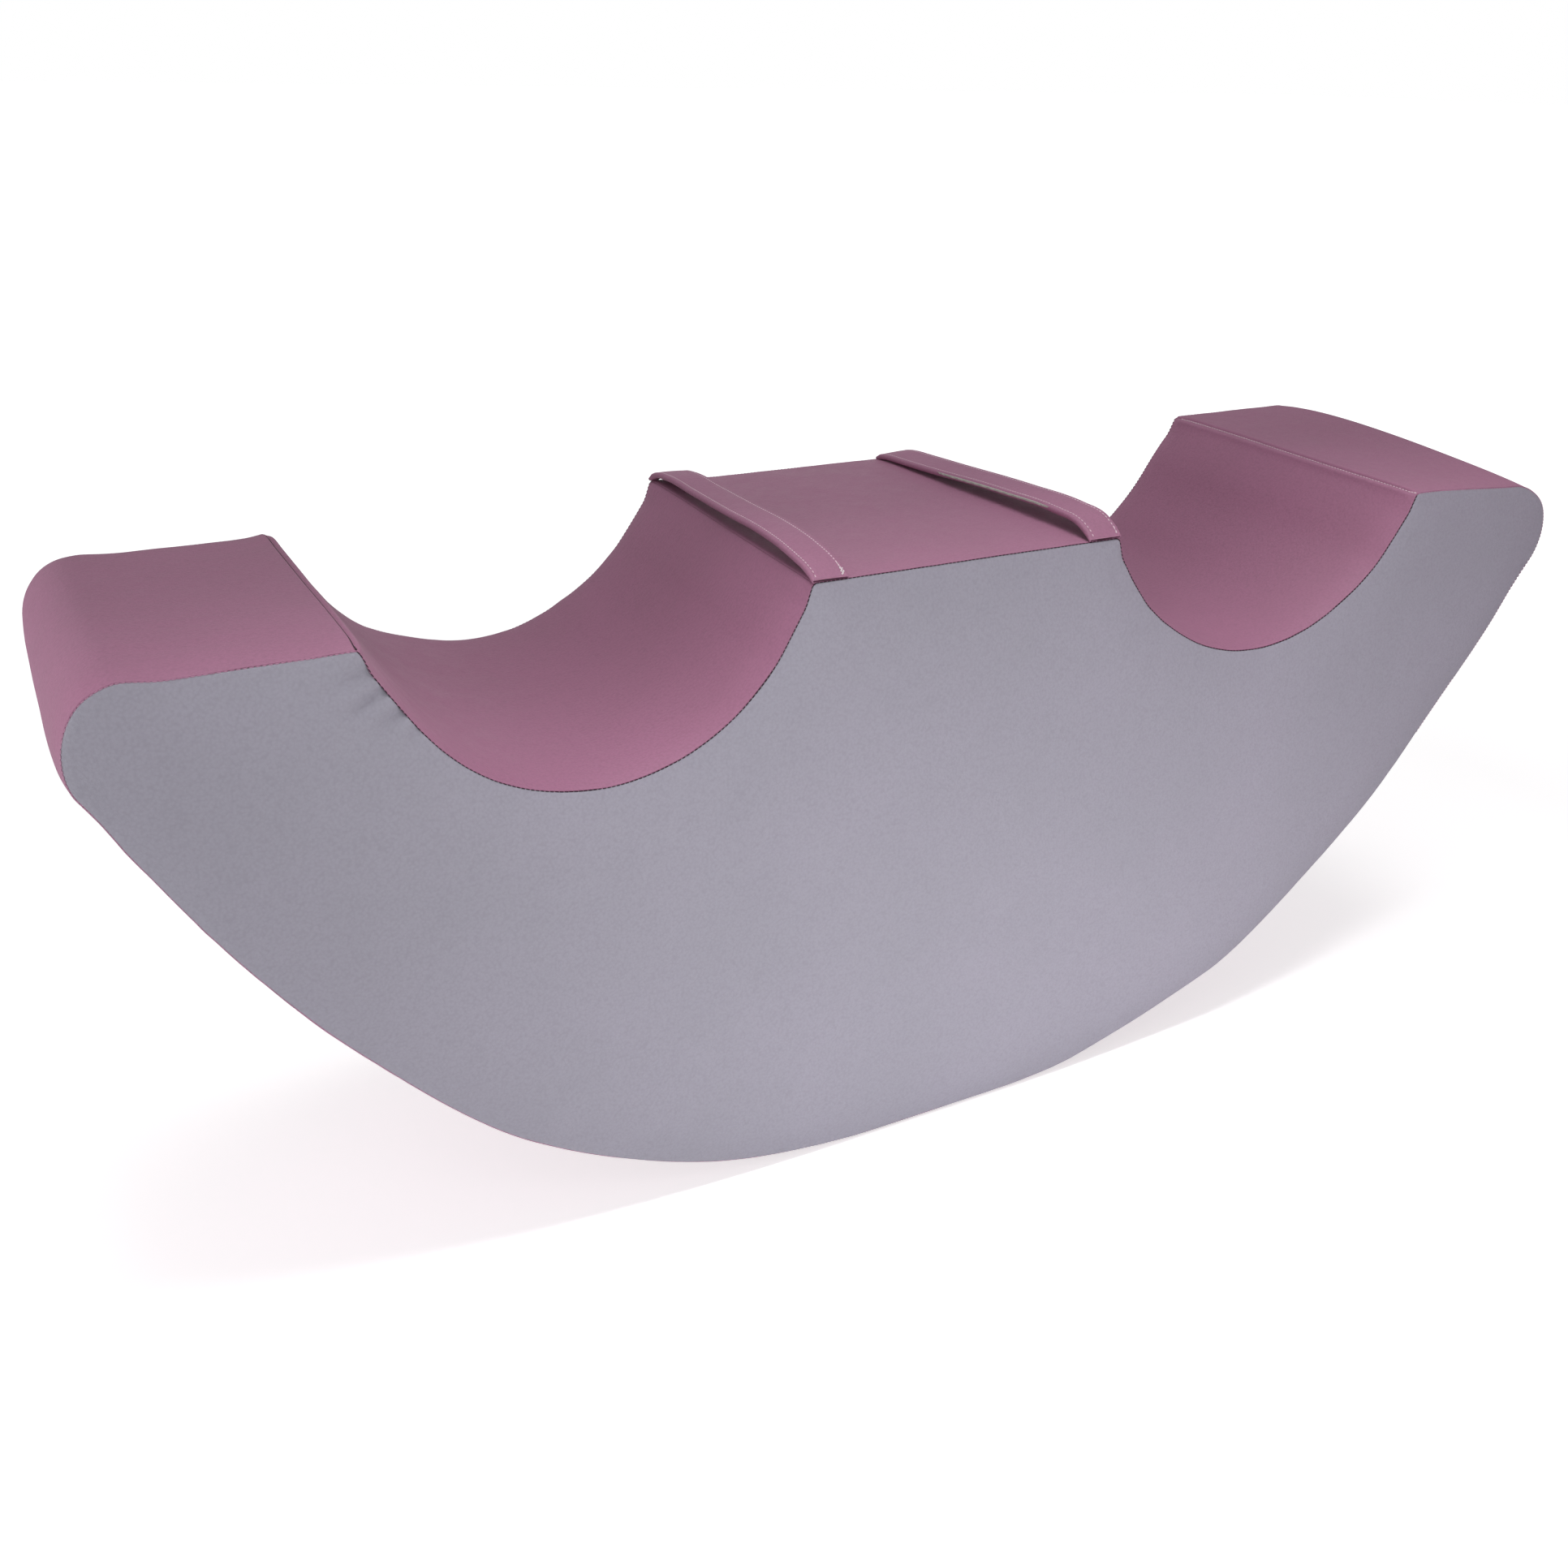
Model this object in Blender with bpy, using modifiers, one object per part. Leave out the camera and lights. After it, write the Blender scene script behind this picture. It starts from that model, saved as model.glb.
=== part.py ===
"""Foam rocker: a foam block with two seats in a sewn two-colour cover with two carrying handles.

X runs along the rocker, Y across it and Z up. The rocker stands on the flat middle of its rocking
surface, with the origin on the floor under its centre. All sizes are in metres.
"""

import math

import bmesh
import bpy

# Block
LENGTH = 1.200
WIDTH = 0.300
HEIGHT = 0.480
FLOOR_FLAT = 0.118
END_SLOPE = math.radians(58.5)
END_RADIUS = 0.046
CENTRE_TOP = 0.258
SEAT_DEPTH = 0.115
SEAT_RADIUS = 0.147
SEAT_SLOPE = math.radians(57.8)
LIP_RADIUS = 0.008

# Cover
FABRIC = 0.0012
CLEARANCE = 0.0003
SEAM_GAP = 0.0005
SIDE_DRAW = 0.005
SIDE_DRAW_REACH = 0.030
SIDE_DRAW_POWER = 2.5
SIDE_CLEARANCE = 0.0006
END_SEAM_RISE = 0.010

# Handles
STRAP_WIDTH = 0.028
STRAP_BACKING = 0.0012
STRAP_BACKING_MARGIN = 0.0015
STRAP_FOOT = 0.006
STRAP_RAMP = 0.022
STRAP_SHOULDER = 0.0085
LEFT_STRAP_LIFT = 0.0110
RIGHT_STRAP_LIFT = 0.0130

# Zip
ZIP_FROM_BACK = 0.045
ZIP_SLOT = 0.014
TAPE_WIDTH = 0.014
TAPE = 0.0006
CHAIN_GAP = 0.0016
COIL_WIDTH = 0.0026
COIL_HEIGHT = 0.0021
COIL_ROUNDING = 0.0006
COIL_END = 0.030
TAPE_END = 0.001
SLIDER_CHANNEL_END = 0.012
SLIDER_LENGTH = 0.010
SLIDER_FLARE = 0.0006
SLIDER_PLATE = 0.0010
SLIDER_FLANGE = 0.0007
SLIDER_CORNER = 0.0012
SLIDER_PARKED = 0.002
SLIDER_ROOM = 0.0005
CROWN_WIDTH = 0.0018
CROWN_BAR = 0.0009
CROWN_OPENING = 0.0036
TAB_LENGTH = 0.024
TAB_WIDTH = 0.0070
TAB_THICKNESS = 0.0012
TAB_EYE_WIDTH = 0.0034
TAB_EYE_LENGTH = 0.0036
TAB_CORNER = 0.0011
STOP_LENGTH = 0.005
STOP_WIDTH = 0.0070
STOP_BAR = 0.0009
PIN_CLEARANCE = 0.00025

# Fineness of the curves
BOTTOM_STEPS = 24
END_LOWER_STEPS = 3
END_UPPER_STEPS = 8
LIP_STEPS = 6
SEAT_STEPS = 16
RAMP_STEPS = 7
ARCH_STEPS = 10
CORNER_STEPS = 4
SMALLEST_RADIUS = 0.0005
CROWN_RINGS = (0.0, 0.1, 0.3, 0.6, 1.0)
CUTTER_OVERSHOOT = 0.001

# Finish: base colour, roughness, metallic
FINISHES = {
    "grey_leather": ((0.355, 0.345, 0.400), 0.62, 0.0),
    "mauve_leather": ((0.300, 0.155, 0.228), 0.60, 0.0),
    "foam": ((0.800, 0.780, 0.700), 0.95, 0.0),
    "webbing": ((0.560, 0.530, 0.520), 0.85, 0.0),
    "zip_tape": ((0.230, 0.130, 0.180), 0.90, 0.0),
    "zip_coil": ((0.200, 0.110, 0.155), 0.45, 0.0),
    "zip_metal": ((0.620, 0.610, 0.600), 0.32, 1.0),
}

# Places worked out from the sizes above
END_CENTRE_X = LENGTH / 2 - END_RADIUS
END_CENTRE_Z = HEIGHT - END_RADIUS
ROCK_RADIUS = (
    (END_CENTRE_X - FLOOR_FLAT / 2) * math.sin(END_SLOPE)
    + END_RADIUS
    - END_CENTRE_Z * math.cos(END_SLOPE)
) / (1 - math.cos(END_SLOPE))
SEAT_CENTRE_Z = HEIGHT - SEAT_DEPTH + SEAT_RADIUS
SEAT_HALF_WIDTH = SEAT_RADIUS * math.sin(SEAT_SLOPE) + (
    SEAT_DEPTH - SEAT_RADIUS * (1 - math.cos(SEAT_SLOPE))
) / math.tan(SEAT_SLOPE)
SEAT_CENTRE_X = CENTRE_TOP / 2 + SEAT_HALF_WIDTH
BAND_HALF_WIDTH = WIDTH / 2 - SIDE_DRAW - FABRIC - CLEARANCE
CORE_INSET = FABRIC + CLEARANCE
CORE_HALF_WIDTH = WIDTH / 2 - FABRIC - SIDE_CLEARANCE
ZIP_Y = WIDTH / 2 - ZIP_FROM_BACK
FLANGE_INNER = CHAIN_GAP / 2 + COIL_WIDTH + CLEARANCE
SLIDER_REAR_HALF = FLANGE_INNER + SLIDER_FLANGE
SLIDER_FRONT_HALF = SLIDER_REAR_HALF + SLIDER_FLARE

# Depths below the cover's surface
TAPE_TOP = FABRIC + CLEARANCE
TAPE_BOTTOM = TAPE_TOP + TAPE
COIL_TOP = TAPE_BOTTOM + CLEARANCE
COIL_BOTTOM = COIL_TOP + COIL_HEIGHT
SLIDER_OUTER_BOTTOM = TAPE_TOP - CLEARANCE
SLIDER_OUTER_TOP = SLIDER_OUTER_BOTTOM - SLIDER_PLATE
SLIDER_INNER_TOP = COIL_BOTTOM + SLIDER_ROOM
SLIDER_INNER_BOTTOM = SLIDER_INNER_TOP + SLIDER_PLATE
SHALLOW_GROOVE = TAPE_BOTTOM + CLEARANCE
DEEP_GROOVE = SLIDER_INNER_BOTTOM + CLEARANCE
SHALLOW_GROOVE_HALF = CHAIN_GAP / 2 + TAPE_WIDTH + CLEARANCE
DEEP_GROOVE_HALF = SLIDER_FRONT_HALF + 2 * CLEARANCE
PIN_SWING = TAB_THICKNESS / math.sqrt(2) + PIN_CLEARANCE
PIN_DEPTH = SLIDER_OUTER_TOP - PIN_SWING


def clear_scene():
    for old in list(bpy.data.objects):
        bpy.data.objects.remove(old, do_unlink=True)


def make_collection(name):
    group = bpy.data.collections.new(name)
    bpy.context.scene.collection.children.link(group)
    return group


clear_scene()
PARTS = make_collection("foam_rocker")
CUTTERS = make_collection("cutters")


def make_material(name, finish):
    colour, roughness, metallic = FINISHES[finish]
    material = bpy.data.materials.new(name)
    material.use_nodes = True
    material.diffuse_color = (*colour, 1.0)
    shader = material.node_tree.nodes["Principled BSDF"]
    shader.inputs["Base Color"].default_value = (*colour, 1.0)
    shader.inputs["Roughness"].default_value = roughness
    shader.inputs["Metallic"].default_value = metallic
    return material


def add_part(name, mesh, finish):
    """A named sub-part with a material of its own."""
    part = bpy.data.objects.new(name, mesh)
    part.data.materials.append(make_material(name + "_finish", finish))
    PARTS.objects.link(part)
    return part


def add_cutter(name, mesh):
    """A helper shape that other parts are cut by or joined with."""
    cutter = bpy.data.objects.new(name, mesh)
    cutter.hide_render = True
    cutter.display_type = "WIRE"
    CUTTERS.objects.link(cutter)
    return cutter


def add_pivot(name, location, angle=0.0):
    """An empty on a joint's axis, turned about Y."""
    pivot = bpy.data.objects.new(name, None)
    pivot.location = location
    pivot.rotation_euler = (0.0, angle, 0.0)
    PARTS.objects.link(pivot)
    return pivot


def solidify(part, thickness):
    """Thicken an open surface behind its face."""
    shell = part.modifiers.new("Thickness", "SOLIDIFY")
    shell.thickness = thickness
    shell.offset = -1.0
    shell.use_even_offset = True
    return shell


def boolean(part, other, operation):
    step = part.modifiers.new(other.name, "BOOLEAN")
    step.operation = operation
    step.solver = "EXACT"
    step.object = other


def arc(centre, radius, start, end, steps, side=1):
    """Points of an arc with their outward normals, by the normal's angle.

    side is -1 where the arc is hollow, so that the normals point to its centre.
    """
    points = []
    for step in range(steps + 1):
        angle = start + (end - start) * step / steps
        nx = math.cos(angle)
        nz = math.sin(angle)
        points.append((centre[0] + side * radius * nx, centre[1] + side * radius * nz, nx, nz))
    return points


def corner_centre(point, top, radius):
    """Centre of a round between the level top and the sloping line through a point."""
    x, z, nx, nz = point
    centre_z = top - radius
    return (x - (radius + (centre_z - z) * nz) / nx, centre_z)


def half_profile(inset):
    """The right half of the outline, from the floor flat to the middle of the top."""
    down = -math.pi / 2
    up = math.pi / 2
    top = HEIGHT - inset
    lip_radius = max(LIP_RADIUS - inset, SMALLEST_RADIUS)
    end_radius = max(END_RADIUS - inset, SMALLEST_RADIUS)

    rocker = arc((FLOOR_FLAT / 2, ROCK_RADIUS), ROCK_RADIUS - inset, down, down + END_SLOPE, BOTTOM_STEPS)
    x, z, nx, nz = rocker[-1]
    seam = (x - nz * END_SEAM_RISE, z + nx * END_SEAM_RISE, nx, nz)
    end_centre = corner_centre(rocker[-1], top, end_radius)
    end = arc(end_centre, end_radius, down + END_SLOPE, 0.0, END_LOWER_STEPS)
    end += arc(end_centre, end_radius, 0.0, up, END_UPPER_STEPS)[1:]
    seat = arc(
        (SEAT_CENTRE_X, SEAT_CENTRE_Z),
        SEAT_RADIUS + inset,
        up + SEAT_SLOPE,
        up - SEAT_SLOPE,
        SEAT_STEPS,
        side=-1,
    )
    outer_lip = arc(corner_centre(seat[0], top, lip_radius), lip_radius, up, up + SEAT_SLOPE, LIP_STEPS)
    inner_lip = arc(corner_centre(seat[-1], top, lip_radius), lip_radius, up - SEAT_SLOPE, up, LIP_STEPS)

    points = rocker + [seam] + end + outer_lip + seat + inner_lip
    marks = {
        "end_seam": len(rocker),
        "outer_lip": len(rocker) + 1 + len(end) + LIP_STEPS // 2,
        "inner_lip": len(points) - len(inner_lip) + LIP_STEPS // 2,
    }
    return points, marks


def profile(inset=0.0):
    """The whole outline, round from the right end of the floor flat to its left end."""
    right, marks = half_profile(inset)
    left = [(-x, z, -nx, nz) for x, z, nx, nz in reversed(right)]
    return right + left, marks


OUTLINE, MARKS = profile()


def stretch(first, last):
    """The outline from one point to another, going on past its end where it has to."""
    count = len(OUTLINE)
    if last < first:
        last += count
    return [OUTLINE[index % count] for index in range(first, last + 1)]


def mirrored(mark):
    return len(OUTLINE) - 1 - MARKS[mark]


def cut_start(path, length):
    """The path without its first stretch of this length."""
    path = list(path)
    while length > 0:
        here = path[0]
        ahead = path[1]
        step = math.dist(here[:2], ahead[:2])
        if step > length:
            share = length / step
            path[0] = tuple(a + (b - a) * share for a, b in zip(here, ahead))
            break
        path.pop(0)
        length -= step
    return path


def shortened(path, length):
    """The path without this length at both of its ends."""
    path = cut_start(path, length)
    path = cut_start(path[::-1], length)
    return path[::-1]


def band_surface(name, path, near, far, depth=0.0):
    """An open strip that follows the outline, a depth below the cover's surface."""
    mesh = bpy.data.meshes.new(name)
    grid = bmesh.new()
    rows = []
    for x, z, nx, nz in path:
        px = x - depth * nx
        pz = z - depth * nz
        rows.append((grid.verts.new((px, near, pz)), grid.verts.new((px, far, pz))))
    for (a, b), (c, d) in zip(rows, rows[1:]):
        grid.faces.new((a, b, d, c))
    grid.to_mesh(mesh)
    grid.free()
    return mesh


def smooth(mesh, degrees=30.0):
    mesh.shade_smooth()
    mesh.set_sharp_from_angle(angle=math.radians(degrees))


def band_panel(name, path, near=-BAND_HALF_WIDTH, far=BAND_HALF_WIDTH):
    """A mauve cover panel, with half a seam gap at each seam that crosses it."""
    mesh = band_surface(name, shortened(path, SEAM_GAP / 2), near, far)
    smooth(mesh)
    panel = add_part(name, mesh, "mauve_leather")
    solidify(panel, FABRIC)
    return panel


def draw_in(distance):
    """How far the grey side is drawn in at a distance from its seam."""
    return SIDE_DRAW * max(1 - distance / SIDE_DRAW_REACH, 0.0) ** SIDE_DRAW_POWER


def crowned_side(grid, inset, half_width, front):
    """A flat side with drawn-in edges; gives back its outer ring of vertices."""
    side = -1 if front else 1
    rings = []
    for share in CROWN_RINGS:
        distance = max(share * SIDE_DRAW_REACH, inset)
        y = side * (half_width - draw_in(distance))
        rings.append([grid.verts.new((x, y, z)) for x, z, nx, nz in profile(distance)[0]])
    faces = []
    for outer, inner in zip(rings, rings[1:]):
        for index in range(len(outer)):
            after = (index + 1) % len(outer)
            faces.append(grid.faces.new((outer[index], outer[after], inner[after], inner[index])))
    if not front:
        bmesh.ops.reverse_faces(grid, faces=faces)
    inner = rings[-1]
    edges = [grid.edges.get((here, ahead)) for here, ahead in zip(inner, inner[1:] + inner[:1])]
    bmesh.ops.triangle_fill(grid, edges=edges, use_beauty=True, normal=(0.0, side, 0.0))
    return rings[0]


def side_panel(name, front):
    mesh = bpy.data.meshes.new(name)
    grid = bmesh.new()
    crowned_side(grid, 0.0, WIDTH / 2, front)
    grid.to_mesh(mesh)
    grid.free()
    mesh.shade_smooth()
    panel = add_part(name, mesh, "grey_leather")
    solidify(panel, FABRIC)
    return panel


def zip_path():
    """The rocking surface from one end seam to the other."""
    return stretch(mirrored("end_seam"), MARKS["end_seam"])


def middles(path):
    """The path through the middles of its steps, with its own two ends."""
    halfway = [tuple((a + b) / 2 for a, b in zip(here, ahead)) for here, ahead in zip(path, path[1:])]
    return [path[0], *halfway, path[-1]]


def channel_cutter(name, path, half_width, depth):
    """A bar along the zip, from just outside the foam down to a depth."""
    near = ZIP_Y - half_width
    far = ZIP_Y + half_width
    cutter = add_cutter(name, band_surface(name, path, near, far, -CUTTER_OVERSHOOT))
    solidify(cutter, CUTTER_OVERSHOOT + depth)
    return cutter


def foam_core():
    """The contour-cut block, with the shallow channels that the zip presses into it.

    Each channel's steps fall between those of the surface that it cuts, so that no edges coincide.
    """
    mesh = bpy.data.meshes.new("foam_core")
    grid = bmesh.new()
    front = crowned_side(grid, CORE_INSET, CORE_HALF_WIDTH, front=True)
    back = crowned_side(grid, CORE_INSET, CORE_HALF_WIDTH, front=False)
    for index in range(len(front)):
        after = (index + 1) % len(front)
        grid.faces.new((front[after], front[index], back[index], back[after]))
    grid.to_mesh(mesh)
    grid.free()
    core = add_part("foam_core", mesh, "foam")
    tape_path = shortened(middles(zip_path()), TAPE_END / 2)
    slider_path = shortened(zip_path(), SLIDER_CHANNEL_END)
    channels = [
        channel_cutter("tape_channel", tape_path, SHALLOW_GROOVE_HALF, SHALLOW_GROOVE),
        channel_cutter("slider_channel", slider_path, DEEP_GROOVE_HALF, DEEP_GROOVE),
    ]
    for channel in channels:
        boolean(core, channel, "DIFFERENCE")
    return core


def cover():
    """The two grey sides and the mauve panels between them."""
    side_panel("front_side_panel", front=True)
    side_panel("back_side_panel", front=False)
    band_panel("right_end_panel", stretch(MARKS["end_seam"], MARKS["outer_lip"]))
    band_panel("right_seat_panel", stretch(MARKS["outer_lip"], MARKS["inner_lip"]))
    band_panel("centre_top_panel", stretch(MARKS["inner_lip"], mirrored("inner_lip")))
    band_panel("left_seat_panel", stretch(mirrored("inner_lip"), mirrored("outer_lip")))
    band_panel("left_end_panel", stretch(mirrored("outer_lip"), mirrored("end_seam")))
    band_panel("bottom_panel_wide", zip_path(), far=ZIP_Y - ZIP_SLOT / 2)
    band_panel("bottom_panel_narrow", zip_path(), near=ZIP_Y + ZIP_SLOT / 2)


def strap_rise(reach, lift):
    """Height and steepness of a handle's underside at a reach from its sewn end."""
    if reach <= STRAP_FOOT:
        return 0.0, 0.0
    ramp = (reach - STRAP_FOOT) / STRAP_RAMP
    if ramp < 1:
        rise = STRAP_SHOULDER * ramp * ramp * (3 - 2 * ramp)
        steepness = STRAP_SHOULDER * 6 * ramp * (1 - ramp) / STRAP_RAMP
        return rise, steepness
    half_arch = BAND_HALF_WIDTH - STRAP_FOOT - STRAP_RAMP
    share = (reach - STRAP_FOOT - STRAP_RAMP) / half_arch
    extra = lift - STRAP_SHOULDER
    rise = STRAP_SHOULDER + extra * share * share * (3 - 2 * share)
    return rise, extra * 6 * share * (1 - share) / half_arch


def strap_path(lift):
    """Underside of a handle across the block, as (y, z, ny, nz)."""
    reaches = [0.0]
    reaches += [STRAP_FOOT + STRAP_RAMP * step / RAMP_STEPS for step in range(RAMP_STEPS + 1)]
    arch = BAND_HALF_WIDTH - STRAP_FOOT - STRAP_RAMP
    reaches += [STRAP_FOOT + STRAP_RAMP + arch * step / ARCH_STEPS for step in range(1, ARCH_STEPS + 1)]
    near = []
    for reach in reaches:
        rise, steepness = strap_rise(reach, lift)
        length = math.hypot(1.0, steepness)
        z = HEIGHT + CLEARANCE + rise
        near.append((reach - BAND_HALF_WIDTH, z, -steepness / length, 1 / length))
    far = [(-y, z, -ny, nz) for y, z, ny, nz in reversed(near[:-1])]
    return near + far


def strap_layer(name, path, left, right, top, thickness, finish):
    """One layer of a handle; top is its upper face's height over the handle's underside."""
    mesh = bpy.data.meshes.new(name)
    grid = bmesh.new()
    rows = []
    for y, z, ny, nz in path:
        py = y + top * ny
        pz = z + top * nz
        rows.append((grid.verts.new((left, py, pz)), grid.verts.new((right, py, pz))))
    for (a, b), (c, d) in zip(rows, rows[1:]):
        grid.faces.new((a, b, d, c))
    grid.to_mesh(mesh)
    grid.free()
    smooth(mesh)
    layer = add_part(name, mesh, finish)
    solidify(layer, thickness)
    return layer


def strap(side, left, lift):
    """A handle: a stiff webbing under a folded and topstitched cover layer."""
    path = strap_path(lift)
    right = left + STRAP_WIDTH
    strap_layer(
        side + "_strap_backing",
        path,
        left + STRAP_BACKING_MARGIN,
        right - STRAP_BACKING_MARGIN,
        STRAP_BACKING,
        STRAP_BACKING,
        "webbing",
    )
    cover_top = STRAP_BACKING + CLEARANCE + FABRIC
    strap_layer(side + "_strap_cover", path, left, right, cover_top, FABRIC, "mauve_leather")


def handles():
    """A handle along each edge of the middle block, sewn into both side seams."""
    strap("left", -CENTRE_TOP / 2, LEFT_STRAP_LIFT)
    strap("right", CENTRE_TOP / 2 - STRAP_WIDTH, RIGHT_STRAP_LIFT)


def prism(name, outline, axis, low, high):
    """A closed outline in the plane square to an axis, drawn out along that axis."""

    def place(a, b, c):
        if axis == "X":
            return (c, a, b)
        if axis == "Y":
            return (a, c, b)
        return (a, b, c)

    mesh = bpy.data.meshes.new(name)
    solid = bmesh.new()
    face = solid.faces.new([solid.verts.new(place(a, b, low)) for a, b in outline])
    grown = bmesh.ops.extrude_face_region(solid, geom=[face])
    moved = [item for item in grown["geom"] if isinstance(item, bmesh.types.BMVert)]
    bmesh.ops.translate(solid, verts=moved, vec=place(0.0, 0.0, high - low))
    bmesh.ops.recalc_face_normals(solid, faces=solid.faces)
    solid.to_mesh(mesh)
    solid.free()
    return mesh


def rounded(corners, radius):
    """A convex outline with each corner rounded off, going round anticlockwise."""
    points = []
    count = len(corners)
    for index, (x, y) in enumerate(corners):
        before = corners[index - 1]
        after = corners[(index + 1) % count]
        coming = math.atan2(y - before[1], x - before[0])
        going = math.atan2(after[1] - y, after[0] - x)
        turn = (going - coming) % (2 * math.pi)
        back = radius * math.tan(turn / 2)
        start = (x - back * math.cos(coming), y - back * math.sin(coming))
        centre = (start[0] - radius * math.sin(coming), start[1] + radius * math.cos(coming))
        for step in range(CORNER_STEPS + 1):
            angle = coming - math.pi / 2 + turn * step / CORNER_STEPS
            points.append((centre[0] + radius * math.cos(angle), centre[1] + radius * math.sin(angle)))
    return points


def rectangle(half_width, low, high):
    return [(-half_width, low), (half_width, low), (half_width, high), (-half_width, high)]


def zip_tape(name, side):
    """A tape under the slot's edge; side is -1 on the wide panel and 1 on the narrow one."""
    edges = sorted(ZIP_Y + side * reach for reach in (CHAIN_GAP / 2, CHAIN_GAP / 2 + TAPE_WIDTH))
    mesh = band_surface(name, shortened(zip_path(), TAPE_END), edges[0], edges[1], TAPE_TOP)
    smooth(mesh)
    tape = add_part(name, mesh, "zip_tape")
    solidify(tape, TAPE)
    return tape


def zip_coil(name, side):
    """The nylon coil on the inner face of a tape, drawn as its round-edged envelope."""
    edges = sorted(ZIP_Y + side * reach for reach in (CHAIN_GAP / 2, CHAIN_GAP / 2 + COIL_WIDTH))
    mesh = band_surface(name, shortened(zip_path(), COIL_END), edges[0], edges[1], COIL_TOP)
    coil = add_part(name, mesh, "zip_coil")
    solidify(coil, COIL_HEIGHT)
    edge = coil.modifiers.new("Round edges", "BEVEL")
    edge.width = COIL_ROUNDING
    edge.segments = 1
    edge.limit_method = "ANGLE"
    edge.angle_limit = math.radians(45)
    return coil


def zip_angle(distance):
    """Angle round the rocking arc at a distance along the zip from its end seam."""
    return END_SLOPE - (distance - END_SEAM_RISE) / ROCK_RADIUS


def level(depth):
    """Height of a depth below the cover's surface, under the rocking arc's centre."""
    return -ROCK_RADIUS + depth


def slider_plate(name, top, bottom):
    """One plate of the slider, wide where the two coils enter and narrower at its rear."""
    half = SLIDER_LENGTH / 2
    corners = [
        (-half, -SLIDER_REAR_HALF),
        (half, -SLIDER_FRONT_HALF),
        (half, SLIDER_FRONT_HALF),
        (-half, SLIDER_REAR_HALF),
    ]
    return prism(name, rounded(corners, SLIDER_CORNER), "Z", level(top), level(bottom))


def slider_crown():
    """The arch on the outer plate that holds the pull tab's eye."""
    inner = CROWN_OPENING / 2
    outer = inner + CROWN_BAR
    root = level(SLIDER_OUTER_TOP + SLIDER_PLATE / 2)
    inner_top = level(PIN_DEPTH - PIN_SWING)
    outer_top = inner_top - CROWN_BAR
    outline = [
        (-outer, root),
        (-outer, outer_top + CROWN_BAR),
        (-inner, outer_top),
        (inner, outer_top),
        (outer, outer_top + CROWN_BAR),
        (outer, root),
        (inner, root),
        (inner, inner_top),
        (-inner, inner_top),
        (-inner, root),
    ]
    return prism("slider_crown", outline, "Y", -CROWN_WIDTH / 2, CROWN_WIDTH / 2)


def slider_flange(name, side):
    """A lip that stands up from the inner plate beside a coil, as far as the tape."""
    low, high = sorted((side * FLANGE_INNER, side * SLIDER_REAR_HALF))
    half = SLIDER_LENGTH / 2 - SLIDER_CORNER
    outline = [(-half, low), (half, low), (half, high), (-half, high)]
    top = level(TAPE_BOTTOM + SLIDER_ROOM)
    return prism(name, outline, "Z", top, level(SLIDER_INNER_TOP + SLIDER_PLATE / 2))


def slider_web():
    """The post between the two plates, which runs in the gap between the coils."""
    half = CHAIN_GAP / 2 - CLEARANCE
    overlap = SLIDER_PLATE / 2
    outline = rectangle(SLIDER_LENGTH / 4, -half, half)
    return prism(
        "slider_web", outline, "Z", level(SLIDER_OUTER_BOTTOM - overlap), level(SLIDER_INNER_TOP + overlap)
    )


def zip_slider(pivot):
    """The slider: two plates on a web, with a crown for the tab and a lip beside each coil."""
    outer = slider_plate("zip_slider", SLIDER_OUTER_TOP, SLIDER_OUTER_BOTTOM)
    slider = add_part("zip_slider", outer, "zip_metal")
    slider.parent = pivot
    pieces = [
        slider_plate("slider_inner_plate", SLIDER_INNER_TOP, SLIDER_INNER_BOTTOM),
        slider_web(),
        slider_flange("slider_near_flange", -1),
        slider_flange("slider_far_flange", 1),
        slider_crown(),
    ]
    for mesh in pieces:
        piece = add_cutter(mesh.name, mesh)
        piece.parent = pivot
        boolean(slider, piece, "UNION")
    return slider


def zip_pull_tab(pivot):
    """A flat tab that hangs from the crown by the bar above its eye."""
    bar = TAB_THICKNESS / 2
    half = TAB_WIDTH / 2
    eye_half = TAB_EYE_WIDTH / 2
    outer = rounded(rectangle(half, bar - TAB_LENGTH, bar), TAB_CORNER)
    eye_mesh = prism(
        "tab_eye", rectangle(eye_half, -bar - TAB_EYE_LENGTH, -bar), "X", -TAB_THICKNESS, TAB_THICKNESS
    )
    mesh = prism("zip_pull_tab", outer, "X", -TAB_THICKNESS / 2, TAB_THICKNESS / 2)
    tab = add_part("zip_pull_tab", mesh, "zip_metal")
    eye = add_cutter("tab_eye", eye_mesh)
    for piece in (tab, eye):
        piece.parent = pivot
    boolean(tab, eye, "DIFFERENCE")
    return tab


def zip_stop(name, pivot):
    """A clamp across both tapes: a bar on each face and a web in the gap between them."""
    half = STOP_WIDTH / 2
    web = CHAIN_GAP / 2 - CLEARANCE
    outer_bottom = level(TAPE_TOP - CLEARANCE)
    outer_top = outer_bottom - STOP_BAR
    inner_top = level(TAPE_BOTTOM + CLEARANCE)
    inner_bottom = inner_top + STOP_BAR
    outline = [
        (-half, outer_top),
        (half, outer_top),
        (half, outer_bottom),
        (web, outer_bottom),
        (web, inner_top),
        (half, inner_top),
        (half, inner_bottom),
        (-half, inner_bottom),
        (-half, inner_top),
        (-web, inner_top),
        (-web, outer_bottom),
        (-half, outer_bottom),
    ]
    mesh = prism(name, outline, "X", -STOP_LENGTH / 2, STOP_LENGTH / 2)
    stop = add_part(name, mesh, "zip_metal")
    stop.parent = pivot
    return stop


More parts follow.
